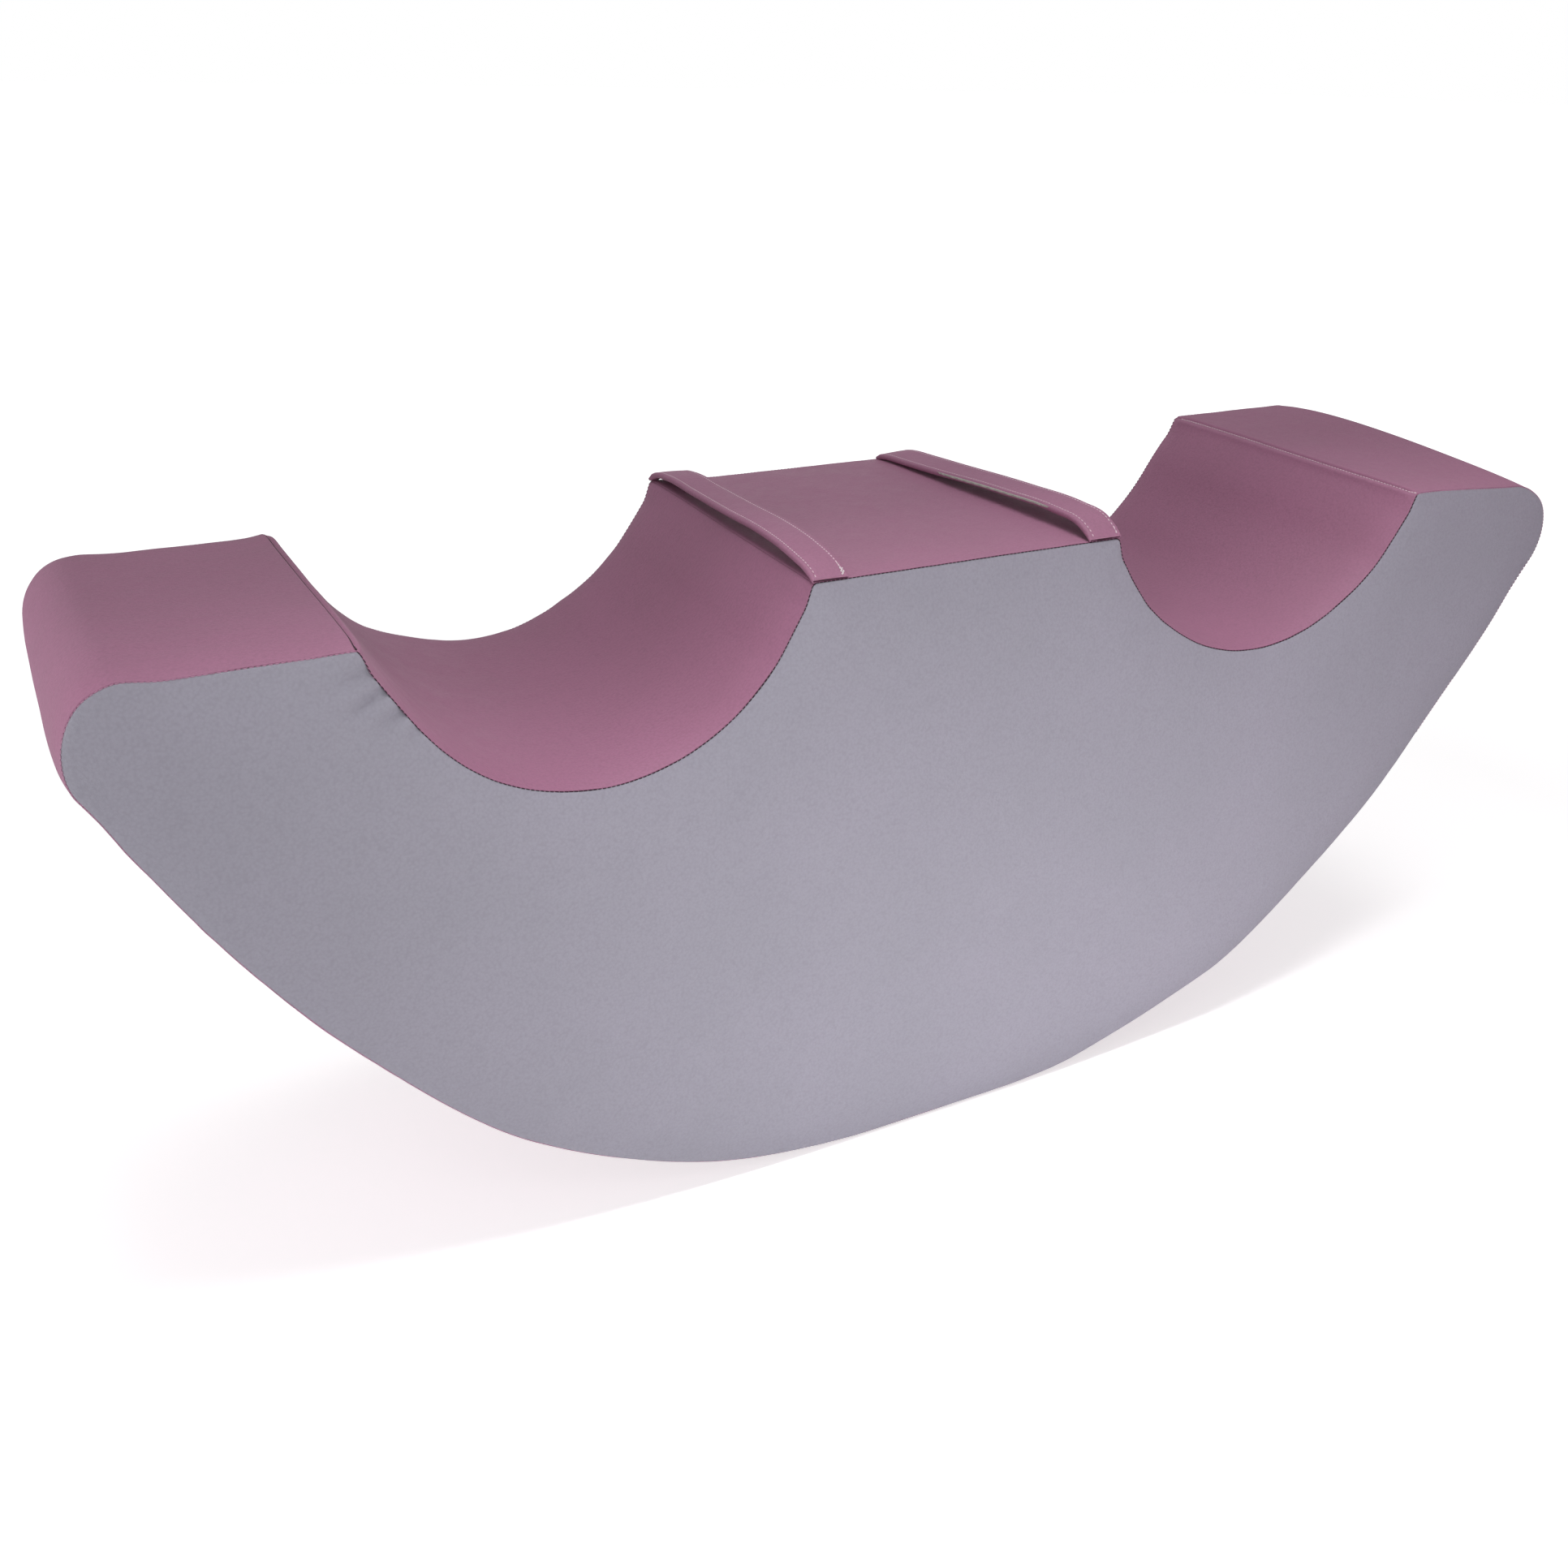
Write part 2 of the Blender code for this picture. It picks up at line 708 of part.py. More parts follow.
def zip_parts():
    """The zip that opens the cover along the rocking surface, near the back edge."""
    zip_tape("zip_tape_wide", -1)
    zip_tape("zip_tape_narrow", 1)
    zip_coil("zip_coil_wide", -1)
    zip_coil("zip_coil_narrow", 1)

    right_centre = (FLOOR_FLAT / 2, ZIP_Y, ROCK_RADIUS)
    left_centre = (-FLOOR_FLAT / 2, ZIP_Y, ROCK_RADIUS)
    parked = zip_angle(COIL_END + SLIDER_PARKED + SLIDER_LENGTH / 2)
    slider_axis = add_pivot("zip_slider_axis", right_centre, -parked)
    zip_slider(slider_axis)

    tab_axis = add_pivot("zip_tab_axis", (0.0, 0.0, level(PIN_DEPTH)), parked)
    tab_axis.parent = slider_axis
    zip_pull_tab(tab_axis)

    stop_angle = zip_angle(COIL_END - STOP_LENGTH / 2 - CLEARANCE)
    zip_stop("zip_top_stop", add_pivot("zip_top_stop_place", right_centre, -stop_angle))
    zip_stop("zip_bottom_stop", add_pivot("zip_bottom_stop_place", left_centre, stop_angle))


foam_core()
cover()
handles()
zip_parts()
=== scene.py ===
"""Looks of the foam rocker: its sewn cover, seams, handles, zip and foam, with light and camera.

X runs along the rocker, Y across it and Z up, in metres. u is the distance round the outline of the
grey side, anticlockwise as seen from the front, and depth is the distance inwards from that outline.
"""

import math

import bpy
import numpy as np
from mathutils import Matrix, Vector
from mathutils.geometry import delaunay_2d_cdt


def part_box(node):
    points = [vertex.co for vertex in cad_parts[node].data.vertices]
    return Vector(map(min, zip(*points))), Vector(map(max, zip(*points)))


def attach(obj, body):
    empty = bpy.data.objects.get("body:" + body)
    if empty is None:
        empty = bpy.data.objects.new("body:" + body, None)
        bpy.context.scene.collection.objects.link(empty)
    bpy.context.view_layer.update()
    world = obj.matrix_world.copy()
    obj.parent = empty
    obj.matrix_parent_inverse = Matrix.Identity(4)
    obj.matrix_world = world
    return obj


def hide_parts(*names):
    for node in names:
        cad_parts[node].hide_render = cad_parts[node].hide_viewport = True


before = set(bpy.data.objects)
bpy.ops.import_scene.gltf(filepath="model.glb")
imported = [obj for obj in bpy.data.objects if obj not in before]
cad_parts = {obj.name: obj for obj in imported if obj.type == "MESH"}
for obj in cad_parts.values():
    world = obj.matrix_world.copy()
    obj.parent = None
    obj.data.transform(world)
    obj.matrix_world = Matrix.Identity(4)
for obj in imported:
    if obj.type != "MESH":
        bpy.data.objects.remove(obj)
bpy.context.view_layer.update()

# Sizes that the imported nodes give
SIDE_LOW, SIDE_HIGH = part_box("front_side_panel")
HALF_LENGTH = SIDE_HIGH.x
HALF_WIDTH = -SIDE_LOW.y
HEIGHT = SIDE_HIGH.z
HALF_CENTRE_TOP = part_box("right_strap_cover")[1].x
STRAP_WIDTH = HALF_CENTRE_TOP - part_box("right_strap_cover")[0].x
ZIP_SLOT_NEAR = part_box("bottom_panel_wide")[1].y
ZIP_SLOT_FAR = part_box("bottom_panel_narrow")[0].y
ZIP_Y = (ZIP_SLOT_NEAR + ZIP_SLOT_FAR) / 2
TAPE_HALF_GAP = ZIP_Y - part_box("zip_tape_wide")[1].y
TAPE_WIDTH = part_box("zip_tape_wide")[1].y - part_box("zip_tape_wide")[0].y

# Outline
FLOOR_FLAT = 0.118
END_SLOPE = math.radians(58.5)
END_RADIUS = 0.046
END_SEAM_RISE = 0.010
SEAT_DEPTH = 0.115
SEAT_RADIUS = 0.147
SEAT_SLOPE = math.radians(57.8)
LIP_RADIUS = 0.008
FINE_STEP = 0.0005

# Cover
FABRIC = 0.0009
FOLDED_FABRIC = 0.0003
FABRIC_REACH = 0.003
SEAM_IN = 0.0050
SEAM_DEPTH = 0.0017
SEAT_SEAM_DEPTH = 0.0050
LEFT_SEAM_DEPTH = 0.0046
# Distances from the seam under the left end over which the deeper seam of the left block comes in
LEFT_UNDER = (0.10, 0.26)
LIP_REACH = 0.014
GREY_REACH = 0.036
GREY_POWER = 2.5
BAND_REACH = 0.025
BAND_POWER = 2.5
WIDE_REACH = 0.075
WIDE_POWER = 2.0
WIDE_SHARE = 0.6
LIP_CREASE = 0.0022
LIP_RIDGE = 0.0012
LIP_RIDGE_AWAY = 0.0042
LIP_RIDGE_WIDTH = 0.0026
ROLL_RADIUS = 0.0005
ROLL_STEPS = 4
SEAM_SLACK = 0.00005
EDGE_PUCKER = 0.00015
EDGE_WAVE = 0.00025
EDGE_WAVE_SIZE = 0.085
# Depth of the gathers at a side seam, and how far they reach from it
MAUVE_GATHERS = (0.00040, 0.010)
GREY_GATHERS = (0.00045, 0.009)
# Long swells of each cover: depth, size and seed
MAUVE_SWELLS = ((0.00060, 0.150, 21), (0.00025, 0.055, 22))
GREY_SWELLS = ((0.00080, 0.230, 31), (0.00022, 0.070, 41))
PANEL_PITCH = 0.003
LIP_PITCH = 0.0009
BAND_FIRST_STEP = 0.0012
BAND_STEP_GROWTH = 1.28
BAND_LARGEST_STEP = 0.008
GREY_RING_REACHES = (0.0012, 0.0021, 0.0033, 0.0048)
GREY_GRID = 0.006
GREY_FINE_GRID = 0.003
GREY_FINE_REACH = 0.050
GREY_SMOOTHINGS = 6
SHARP_ANGLE = math.radians(50)
NEAREST_BLOCK = 2000
SAME_POINT = 1e-7

# Handles
STRAP_THICKNESS = 0.0030
STRAP_EDGE = 0.0012
STRAP_SEWN_THICKNESS = 0.0016
STRAP_SEWN_REACH = 0.006
STRAP_CLEARANCE = 0.0004
STRAP_TILT = 0.0008
STRAP_FREE = 0.035
# Height and length of a handle's waves sideways and of its twisting
STRAP_WAVER = (0.0006, 0.060)
STRAP_TWIST = (0.00035, 0.075)
STRAP_PITCH = 0.0035
STRAP_END_PITCH = 0.0015
STRAP_END_LENGTH = 0.032
STRAP_SEAM_GAP = 0.0002
STRAP_FABRIC = 0.0008
LEFT_STRAP_HEIGHTS = (
    # place from the front end to the back end in mm, height of the underside over the block in mm
    (-145, 0.0), (-130, 4.2), (-105, 8.0), (-60, 10.0), (0, 9.0),
    (60, 7.6), (110, 7.0), (134, 3.6), (145, 0.0),
)
RIGHT_STRAP_HEIGHTS = (
    (-145, 0.0), (-128, 7.4), (-100, 10.0), (-40, 9.2),
    (45, 6.0), (95, 3.8), (130, 1.8), (145, 0.0),
)
STRAP_HEM = 0.007
STRAP_STITCH_IN = 0.0030
WEBBING = 0.0012
WEBBING_POINTS = 7
WEBBING_REST = 0.28
WEBBING_SHORT = 0.012
WEBBING_SHOWS = 0.0022
WEBBING_SAG = 0.0006
WEBBING_SHOWS_FROM = (-0.115, -0.085)
WEBBING_HIDDEN_FROM = (0.03, 0.09)

# Stitches
STITCH_PITCH = 0.0032
STITCH_LENGTH = 0.0025
THREAD = 0.0006
END_THREAD = 0.0008
SEAT_THREAD = 0.0007
# Thickness of the left block's seam thread, whose near unbroken dark line is painted shade of the crease
LIP_THREAD_AND_SHADE = 0.0014
TOPSTITCH_THREAD = 0.0014
TACK_THREAD = 0.0016
STITCH_SIDES = 6
STITCH_DIP = 0.35
# Rings of a stitch: place as a share of its length, and width as a share of its thickness
STITCH_RINGS = ((-0.5, 0.35), (-0.36, 0.9), (0.0, 1.0), (0.36, 0.9), (0.5, 0.35))
THREAD_BELOW = 0.00045
THREAD_OUT = 0.00035
TOPSTITCH_LIFT = 0.00035
# Share of a handle's thickness at which its threads rest
STITCH_REST = 0.97
# Back tacks: place across the handle, first and last y, and rows of stitches
LEFT_TACKS = (
    (STRAP_WIDTH - 0.0034, -0.1425, -0.1270, 3),
    (0.0030, -0.1430, -0.1370, 2),
)
RIGHT_TACKS = (
    (STRAP_WIDTH - 0.0035, -0.1425, -0.1300, 3),
    (STRAP_WIDTH - 0.0085, -0.1425, -0.1350, 2),
)

# Zip
TAPE_DEPTH = 0.0015
TAPE_THICKNESS = 0.0006
TAPE_END = 0.001
TAPE_COLUMNS = 360
ZIP_STITCH_IN = 0.0035
ZIP_STITCH_END = 0.006
ZIP_STITCH_SUNK = 0.0003
# Rows across a tape from its inner edge, and how deep each lies, with the outer edge last
TAPE_ROWS = (0.0, 0.0004, 0.0012, 0.0020, 0.004, 0.007)
TAPE_RAISED = (0.0001, 0.0, 0.0, 0.0002, 0.0002, 0.0002, 0.0002)
COIL_DEPTH = 0.00345
COIL_HALF_WIDTH = 0.0013
COIL_HALF_HEIGHT = 0.00105
COIL_WIRE = 0.0003
COIL_PITCH = 0.0017
COIL_TURN_POINTS = 10
COIL_WIRE_SIDES = 5
COIL_END = 0.030

# Foam
FOAM_INSET = 0.0024
FOAM_PITCH = 0.006
FOAM_GRID = 0.014
FOAM_RIM_DEPTH = 0.0070
FOLD_ROOM = 0.0040
FOLD_REACH = 0.100
FOAM_EDGE_ROWS = (0.0, 0.004, 0.010, 0.018)
FOAM_MIDDLE_ROWS = 14
FOAM_MIDDLE_IN = 0.030
FOAM_RIM_IN = 0.0022
FOAM_CORNER_IN = 0.0004
CHANNEL_ROOM = 0.0003
CHANNEL_WALL = 0.0002
TAPE_CHANNEL_DEPTH = 0.0027
COIL_CHANNEL_DEPTH = 0.0065
COIL_CHANNEL_HALF = 0.0054
COIL_CHANNEL_END = 0.012

# How the soft block has settled, each row in mm: its middle along the rocker, half its length, the
# length over which it fades at its ends, and the shift upwards, to the right or outwards
FRONT_RISE = (
    # fuller left end, raised left block, raised right seat, sunken right end
    (-571, 35, 30, 2.7),
    (-515, 95, 30, 3.0),
    (283, 154, 80, 7.0),
    (600, 160, 140, -8.0),
)
BACK_RISE = (
    # sunken left block, raised left seat, sunken middle block, raised right block
    (-540, 210, 130, -7.5),
    (-270, 120, 60, 5.5),
    (20, 160, 80, -3.2),
    (510, 210, 150, 6.0),
)
FRONT_SHIFT = (
    # left lip, left seat's far wall, middle block, right seat and block, right lip, right end
    (-437, 100, 80, 5.0),
    (-210, 90, 60, -2.6),
    (10, 175, 50, -5.7),
    (330, 230, 120, -3.2),
    (437, 40, 40, -1.3),
    (605, 35, 25, 4.0),
)
BACK_SHIFT = (
    # left lip and wall, left seat's far wall, the middle block's left corner, middle and right corner,
    # right seat and block, its wall
    (-420, 120, 80, 5.0),
    (-205, 70, 50, -3.5),
    (-129, 40, 40, 2.0),
    (0, 90, 60, -5.0),
    (110, 100, 70, -12.0),
    (320, 250, 120, -3.2),
    (395, 75, 60, -12.5),
)
UNDERSIDE = (
    # fuller under the left end, flatter, fuller, flatter twice, fuller at the right end
    (-550, 105, 90, 4.2),
    (-438, 90, 90, -4.2),
    (-200, 90, 90, 1.2),
    (215, 100, 80, -4.0),
    (392, 110, 110, -6.8),
    (548, 75, 75, 4.5),
)
LEFT_CORNER_REACH = 0.075
LEFT_CORNER_FRONT = 0.0010
LEFT_CORNER_BACK = 0.0050
RIGHT_END_CROWN = 0.0065
# Heights over which leaning, rising and the change at the ends come in, and where across the rocker
# the settling of the underside fades out short of the zip
LEAN_HEIGHTS = (0.27, 0.42)
RISE_HEIGHTS = (0.25, 0.36)
END_HEIGHTS = (0.36, 0.44)
ZIP_FREE = (0.02, 0.085)

# Light
WHITE = (1.0, 1.0, 1.0)
AMBIENT = 0.28
FLOOR_COLOUR = (0.82, 0.82, 0.82)
FLOOR_GLOW = 0.62
FLOOR_GLOW_REACH = (1.0, 2.6)
FLOOR_HALF = 40.0
FLOOR_DROP = 0.0005
SOFTBOXES = (
    # name, place, aim, width, height, power, colour, spread in degrees
    ("top_softbox", (0.00, 0.20, 2.40), (-0.10, 0.00, 0.40), 1.60, 1.00, 10.8, WHITE, 160),
    ("edge_softbox", (0.05, -0.37, 1.50), (0.05, -0.35, 0.40), 1.30, 0.08, 1.05, WHITE, 42),
    ("near_softbox", (-0.45, -0.50, 0.60), (-0.30, -0.05, 0.40), 0.35, 0.15, 0.19, WHITE, 160),
    ("left_softbox", (-2.10, -0.10, 0.22), (-0.55, 0.00, 0.32), 0.80, 0.40, 4.6, WHITE, 120),
    ("side_softbox", (-1.60, -0.50, 0.60), (-0.20, 0.00, 0.40), 0.50, 0.40, 1.4, WHITE, 140),
    ("floor_softbox", (0.10, -0.95, 0.04), (0.05, -0.15, 0.18), 0.70, 0.08, 2.4, WHITE, 150),
    ("back_softbox", (0.90, 2.00, 0.70), (-0.20, 0.00, 0.40), 0.80, 0.50, 0.6, WHITE, 140),
    ("pink_softbox", (1.60, -1.20, 0.60), (0.40, -0.10, 0.25), 0.60, 0.50, 0.5, (1.0, 0.10, 0.60), 120),
)

# Camera, fitted to the photograph's frame
IMAGE_SIZE = 1932
FOCAL_PIXELS = 1845.0
SENSOR = 36.0
CAMERA_PLACE = Vector((-0.5959, -0.9722, 0.7898))
CAMERA_YAW = math.radians(28.198)
CAMERA_PITCH = math.radians(25.843)
CAMERA_ROLL = math.radians(1.185)

END_CENTRE = (HALF_LENGTH - END_RADIUS, HEIGHT - END_RADIUS)
ROCK_RADIUS = (
    (END_CENTRE[0] - FLOOR_FLAT / 2) * math.sin(END_SLOPE)
    + END_RADIUS
    - END_CENTRE[1] * math.cos(END_SLOPE)
) / (1 - math.cos(END_SLOPE))
SEAT_CENTRE_Z = HEIGHT - SEAT_DEPTH + SEAT_RADIUS
SEAT_HALF_WIDTH = SEAT_RADIUS * math.sin(SEAT_SLOPE) + (
    SEAT_DEPTH - SEAT_RADIUS * (1 - math.cos(SEAT_SLOPE))
) / math.tan(SEAT_SLOPE)
SEAT_CENTRE_X = HALF_CENTRE_TOP + SEAT_HALF_WIDTH


# Outline of the grey side

def arc(centre, radius, start, end, side=1):
    """Points of an arc with outward normals, by the normal's angle; side is -1 where it is hollow."""
    steps = math.ceil(abs(end - start) * radius / FINE_STEP)
    angle = np.linspace(start, end, steps + 1)
    normal = np.stack([np.cos(angle), np.sin(angle)], axis=1)
    return np.hstack([np.array(centre) + side * radius * normal, normal])


def lip_centre(point, radius):
    """Centre of a round between the level top and the slope that passes through a point."""
    x, z, nx, nz = point
    centre_z = HEIGHT - radius
    return (x - (radius + (centre_z - z) * nz) / nx, centre_z)


def right_half():
    """The right half of the outline, and where its seams and lips lie in it."""
    down = -math.pi / 2
    up = math.pi / 2
    rocker = arc((FLOOR_FLAT / 2, ROCK_RADIUS), ROCK_RADIUS, down, down + END_SLOPE)
    end = arc(lip_centre(rocker[-1], END_RADIUS), END_RADIUS, down + END_SLOPE, up)
    seat = arc((SEAT_CENTRE_X, SEAT_CENTRE_Z), SEAT_RADIUS, up + SEAT_SLOPE, up - SEAT_SLOPE, side=-1)
    outer_lip = arc(lip_centre(seat[0], LIP_RADIUS), LIP_RADIUS, up, up + SEAT_SLOPE)
    inner_lip = arc(lip_centre(seat[-1], LIP_RADIUS), LIP_RADIUS, up - SEAT_SLOPE, up)
    arcs = [rocker, end, outer_lip, seat, inner_lip]
    starts = np.cumsum([0] + [len(piece) for piece in arcs])
    marks = {
        "rocker_end": starts[1] - 1,
        "outer_lip": (starts[2] + starts[3] - 1) / 2,
        "inner_lip": (starts[4] + starts[5] - 1) / 2,
    }
    return np.vstack(arcs), marks


def closed_outline():
    """The whole outline as columns x, z, nx, nz, its distances u, and u at each seam and lip."""
    right, marks = right_half()
    left = right[::-1] * np.array([-1, 1, -1, 1])
    points = np.vstack([right, left])
    gaps = np.linalg.norm(np.diff(np.vstack([points, points[:1]])[:, :2], axis=0), axis=1)
    u = np.concatenate([[0.0], np.cumsum(gaps)])
    last = len(points) - 1
    places = {}
    for mark, index in marks.items():
        places["right_" + mark] = np.interp(index, np.arange(len(u)), u)
        places["left_" + mark] = np.interp(last - index, np.arange(len(u)), u)
    return points, u[:-1], u[-1], places


OUTLINE, OUTLINE_U, ROUND, PLACES = closed_outline()
SEAMS = {
    "right_end": PLACES["right_rocker_end"] + END_SEAM_RISE,
    "right_outer": PLACES["right_outer_lip"],
    "right_inner": PLACES["right_inner_lip"],
    "left_inner": PLACES["left_inner_lip"],
    "left_outer": PLACES["left_outer_lip"],
    "left_end": PLACES["left_rocker_end"] - END_SEAM_RISE,
}
BOTTOM = (SEAMS["left_end"] - ROUND, SEAMS["right_end"])
LIPS = ("right_outer", "right_inner", "left_inner", "left_outer")
SEATS = (("right_outer", "right_inner"), ("left_inner", "left_outer"))
ENDS = (("right_end", "right_outer"), ("left_outer", "left_end"))
TOPS = (ENDS[0], ("right_inner", "left_inner"), ENDS[1])


def at(u):
    """Columns x, z, nx, nz of the outline at distances round it."""
    columns = [np.interp(u, OUTLINE_U, OUTLINE[:, k], period=ROUND) for k in range(4)]
    found = np.stack(columns, axis=-1)
    found[..., 2:] /= np.linalg.norm(found[..., 2:], axis=-1, keepdims=True)
    return found


def place(u, y, depth):
    """Points on the cover at distances round the outline, across it and a depth below it."""
    x, z, nx, nz = np.moveaxis(at(u), -1, 0)
    return np.stack(np.broadcast_arrays(x - nx * depth, y, z - nz * depth), axis=-1)


def stations(start, end, pitch=PANEL_PITCH):
    """Distances round the outline from start to end, closer together on the lips."""
    fine = np.arange(start, end, FINE_STEP)
    local = np.full(len(fine), pitch)
    lip_half = LIP_RADIUS * SEAT_SLOPE / 2 + LIP_RADIUS / 4
    for name in LIPS:
        away = np.abs((fine - SEAMS[name] + ROUND / 2) % ROUND - ROUND / 2)
        local[away < lip_half] = LIP_PITCH
    count = np.concatenate([[0.0], np.cumsum(FINE_STEP / local[:-1])])
    steps = math.ceil(count[-1])
    return np.interp(np.linspace(0, count[-1], steps + 1), count, fine)


# Smooth noise

def hashed(cells, seed):
    """A number from -1 to 1 for each cell, the same each time."""
    mixed = np.sin(cells @ np.array([12.9898, 78.233, 37.719]) + seed * 4.581) * 43758.5453
    return 2 * (mixed - np.floor(mixed)) - 1


def noise(points, size, seed):
    """Smooth noise from about -1 to 1, with lumps of about this size."""
    cells = np.asarray(points) / size
    low = np.floor(cells)
    share = cells - low
    share = share * share * (3 - 2 * share)
    total = np.zeros(len(cells))
    for corner in np.ndindex(2, 2, 2):
        step = np.array(corner)
        weight = np.prod(np.where(step == 1, share, 1 - share), axis=1)
        total += weight * hashed(low + step, seed)
    return total


def ripple(u, size, seed):
    """Smooth noise along the outline."""
    flat = np.zeros((np.size(u), 3))
    flat[:, 0] = np.ravel(u)
    return noise(flat, size, seed).reshape(np.shape(u))


def ramp(value, low, high):
    """0 below low, 1 above high and smooth between."""
    share = np.clip((value - low) / (high - low), 0, 1)
    return share * share * (3 - 2 * share)


def curve(places, heights, at_places):
    """A smooth curve through a few heights."""
    slopes = np.gradient(heights, places)
    index = np.clip(np.searchsorted(places, at_places, side="right") - 1, 0, len(places) - 2)
    width = places[index + 1] - places[index]
    share = (at_places - places[index]) / width
    rest = 1 - share
    return (
        heights[index] * (1 + 2 * share) * rest ** 2
        + heights[index + 1] * (3 - 2 * share) * share ** 2
        + slopes[index] * width * share * rest ** 2
        - slopes[index + 1] * width * share ** 2 * rest
    )


# Shape of the cover's surface

def in_range(u, start, end, soft=0.02):
    """1 where u lies between two distances round the outline, soft at both ends."""
    turned = (u - start) % ROUND
    length = end - start
    inside = np.minimum(turned, length - turned)
    return ramp(inside, 0, soft)


def between(u, pairs, beyond=0.0):
    """1 where u lies between the seams of one of the pairs, soft at both ends."""
    return sum(in_range(u, SEAMS[start] - beyond, SEAMS[end] + beyond) for start, end in pairs)


def pucker(u, side):
    """How lively the gathers along a side seam are at u: most round the seats, least underneath."""
    strength = 0.35 + 0.65 * between(u, SEATS, 0.01) + 0.40 * between(u, ENDS)
    wave = 0.6 * ripple(u, 0.011, 3 + side) + 0.4 * ripple(u, 0.026, 7 + side)
    return strength * wave


def edge_depth(u, side):
    """Depth of a side seam below the outline; side is -1 in front and 1 behind."""
    left = in_range(u, SEAMS["left_outer"] - LIP_REACH, SEAMS["left_end"], 0.03)
    left = left * ramp(SEAMS["left_end"] - u, *LEFT_UNDER)
    depth = SEAM_DEPTH + (SEAT_SEAM_DEPTH - SEAM_DEPTH) * between(u, SEATS)
    depth = depth + (LEFT_SEAM_DEPTH - SEAM_DEPTH) * left
    return depth + EDGE_PUCKER * pucker(u, side) + EDGE_WAVE * ripple(u, EDGE_WAVE_SIZE, 11 + side)


def seam_drop(u, side, reach):
    """Depth of a mauve panel at a distance from a side seam: close to the seam, and wider above."""
    wide = WIDE_SHARE * (between(u, SEATS) + between(u, TOPS))
    near_drop = np.clip(1 - reach / BAND_REACH, 0, None) ** BAND_POWER
    wide_drop = np.clip(1 - reach / WIDE_REACH, 0, None) ** WIDE_POWER
    return edge_depth(u, side) * (near_drop * (1 - wide) + wide_drop * wide)


def lip_ridge(u):
    """Depth beside the outer lips' seams: a crease, and the seam allowance raised on the seat's side."""
    total = np.zeros(np.shape(u))
    for name, seat_side in (("left_outer", -1), ("right_outer", 1)):
        away = (u - SEAMS[name]) * seat_side
        raised = np.exp(-(((away - LIP_RIDGE_AWAY) / LIP_RIDGE_WIDTH) ** 2))
        creased = np.exp(-((away / (LIP_RIDGE_WIDTH / 2)) ** 2))
        total = total + LIP_CREASE * creased - LIP_RIDGE * raised
    return total


def left_top_folds(x, y, z):
    """Shallow folds along the left block's top, behind its front edge."""
    total = np.zeros(np.shape(x))
    for line, start, end, width, depth in (
        (-0.108, -0.575, -0.455, 0.0055, 0.00130),
        (-0.088, -0.560, -0.490, 0.0050, 0.00070),
        (-0.066, -0.575, -0.485, 0.0065, 0.00060),
    ):
        bow = line + 0.004 * np.sin((x - start) / (end - start) * math.pi)
        along = ramp(x, start, start + 0.03) * ramp(-x, -end, -end + 0.03)
        total = total + depth * along * np.exp(-(((y - bow) / width) ** 2))
    return total * (z > HEIGHT - 0.02)


def gathers(lively, reach, depth, length):
    """Depth of the gathers that run in from a side seam."""
    return depth * lively * np.exp(-reach / length)


def swells(points, rows, shift=0):
    """Long soft swells; each row is a depth, a size and a seed."""
    return sum(depth * noise(points, size, seed + shift) for depth, size, seed in rows)


def band_wave(points, u, reach):
    """Extra depth of a mauve panel: gathers at the side seams, long swells and the left block's folds."""
    x, y, z = points.T
    lively = np.where(y < 0, pucker(u, -1), pucker(u, 1))
    wave = gathers(lively, reach, *MAUVE_GATHERS) + swells(points, MAUVE_SWELLS) * ramp(reach, 0.0, 0.045)
    return wave + left_top_folds(x, y, z) + lip_ridge(u) * ramp(reach, 0.0, 0.012)


CORNER_FOLDS = (
    # lip, side, offset along x and z from the lip, heading in degrees, length, width, depth
    ("left_outer", -1, 0.0030, -0.0160, 200, 0.036, 0.0048, 0.00300),
    ("left_outer", -1, 0.0140, -0.0260, 212, 0.040, 0.0042, 0.00340),
    ("left_outer", -1, 0.0240, -0.0400, 222, 0.034, 0.0040, 0.00300),
    ("left_outer", -1, 0.0330, -0.0520, 228, 0.026, 0.0036, 0.00160),
    ("left_outer", 1, 0.0190, -0.0340, 232, 0.036, 0.0044, 0.00110),
    ("left_outer", 1, 0.0060, -0.0150, 214, 0.030, 0.0050, 0.00080),
    ("right_outer", 1, -0.0170, -0.0300, 308, 0.034, 0.0044, 0.00090),
    ("left_inner", 1, -0.0080, -0.0140, 305, 0.026, 0.0050, 0.00060),
    ("right_inner", -1, 0.0090, -0.0160, 240, 0.024, 0.0050, 0.00045),
)


def corner_folds(x, z, side):
    """Short folds that run into a grey side from the seams at its corners."""
    total = np.zeros(np.shape(x))
    for lip, on_side, dx, dz, heading, length, width, depth in CORNER_FOLDS:
        if on_side != side:
            continue
        lip_x, lip_z = at(SEAMS[lip])[:2]
        turned = math.radians(heading)
        ahead = (x - lip_x - dx) * math.cos(turned) + (z - lip_z - dz) * math.sin(turned)
        across = (z - lip_z - dz) * math.cos(turned) - (x - lip_x - dx) * math.sin(turned)
        along = ramp(ahead, -0.012, 0.004) * (1 - ramp(ahead, 0.2 * length, length))
        groove = np.exp(-((across / width) ** 2)) - 0.45 * np.exp(-(((across - 2 * width) / width) ** 2))
        total = total + depth * along * groove
    return total


def grey_wave(points, u, reach, side):
    """Extra depth of a grey side: gathers at its seam, long swells and the folds at its corners."""
    x, _, z = points.T
    wave = gathers(pucker(u, side), reach, *GREY_GATHERS)
    return wave + swells(points, GREY_SWELLS, side) * ramp(reach, 0.0, 0.06) + corner_folds(x, z, side)


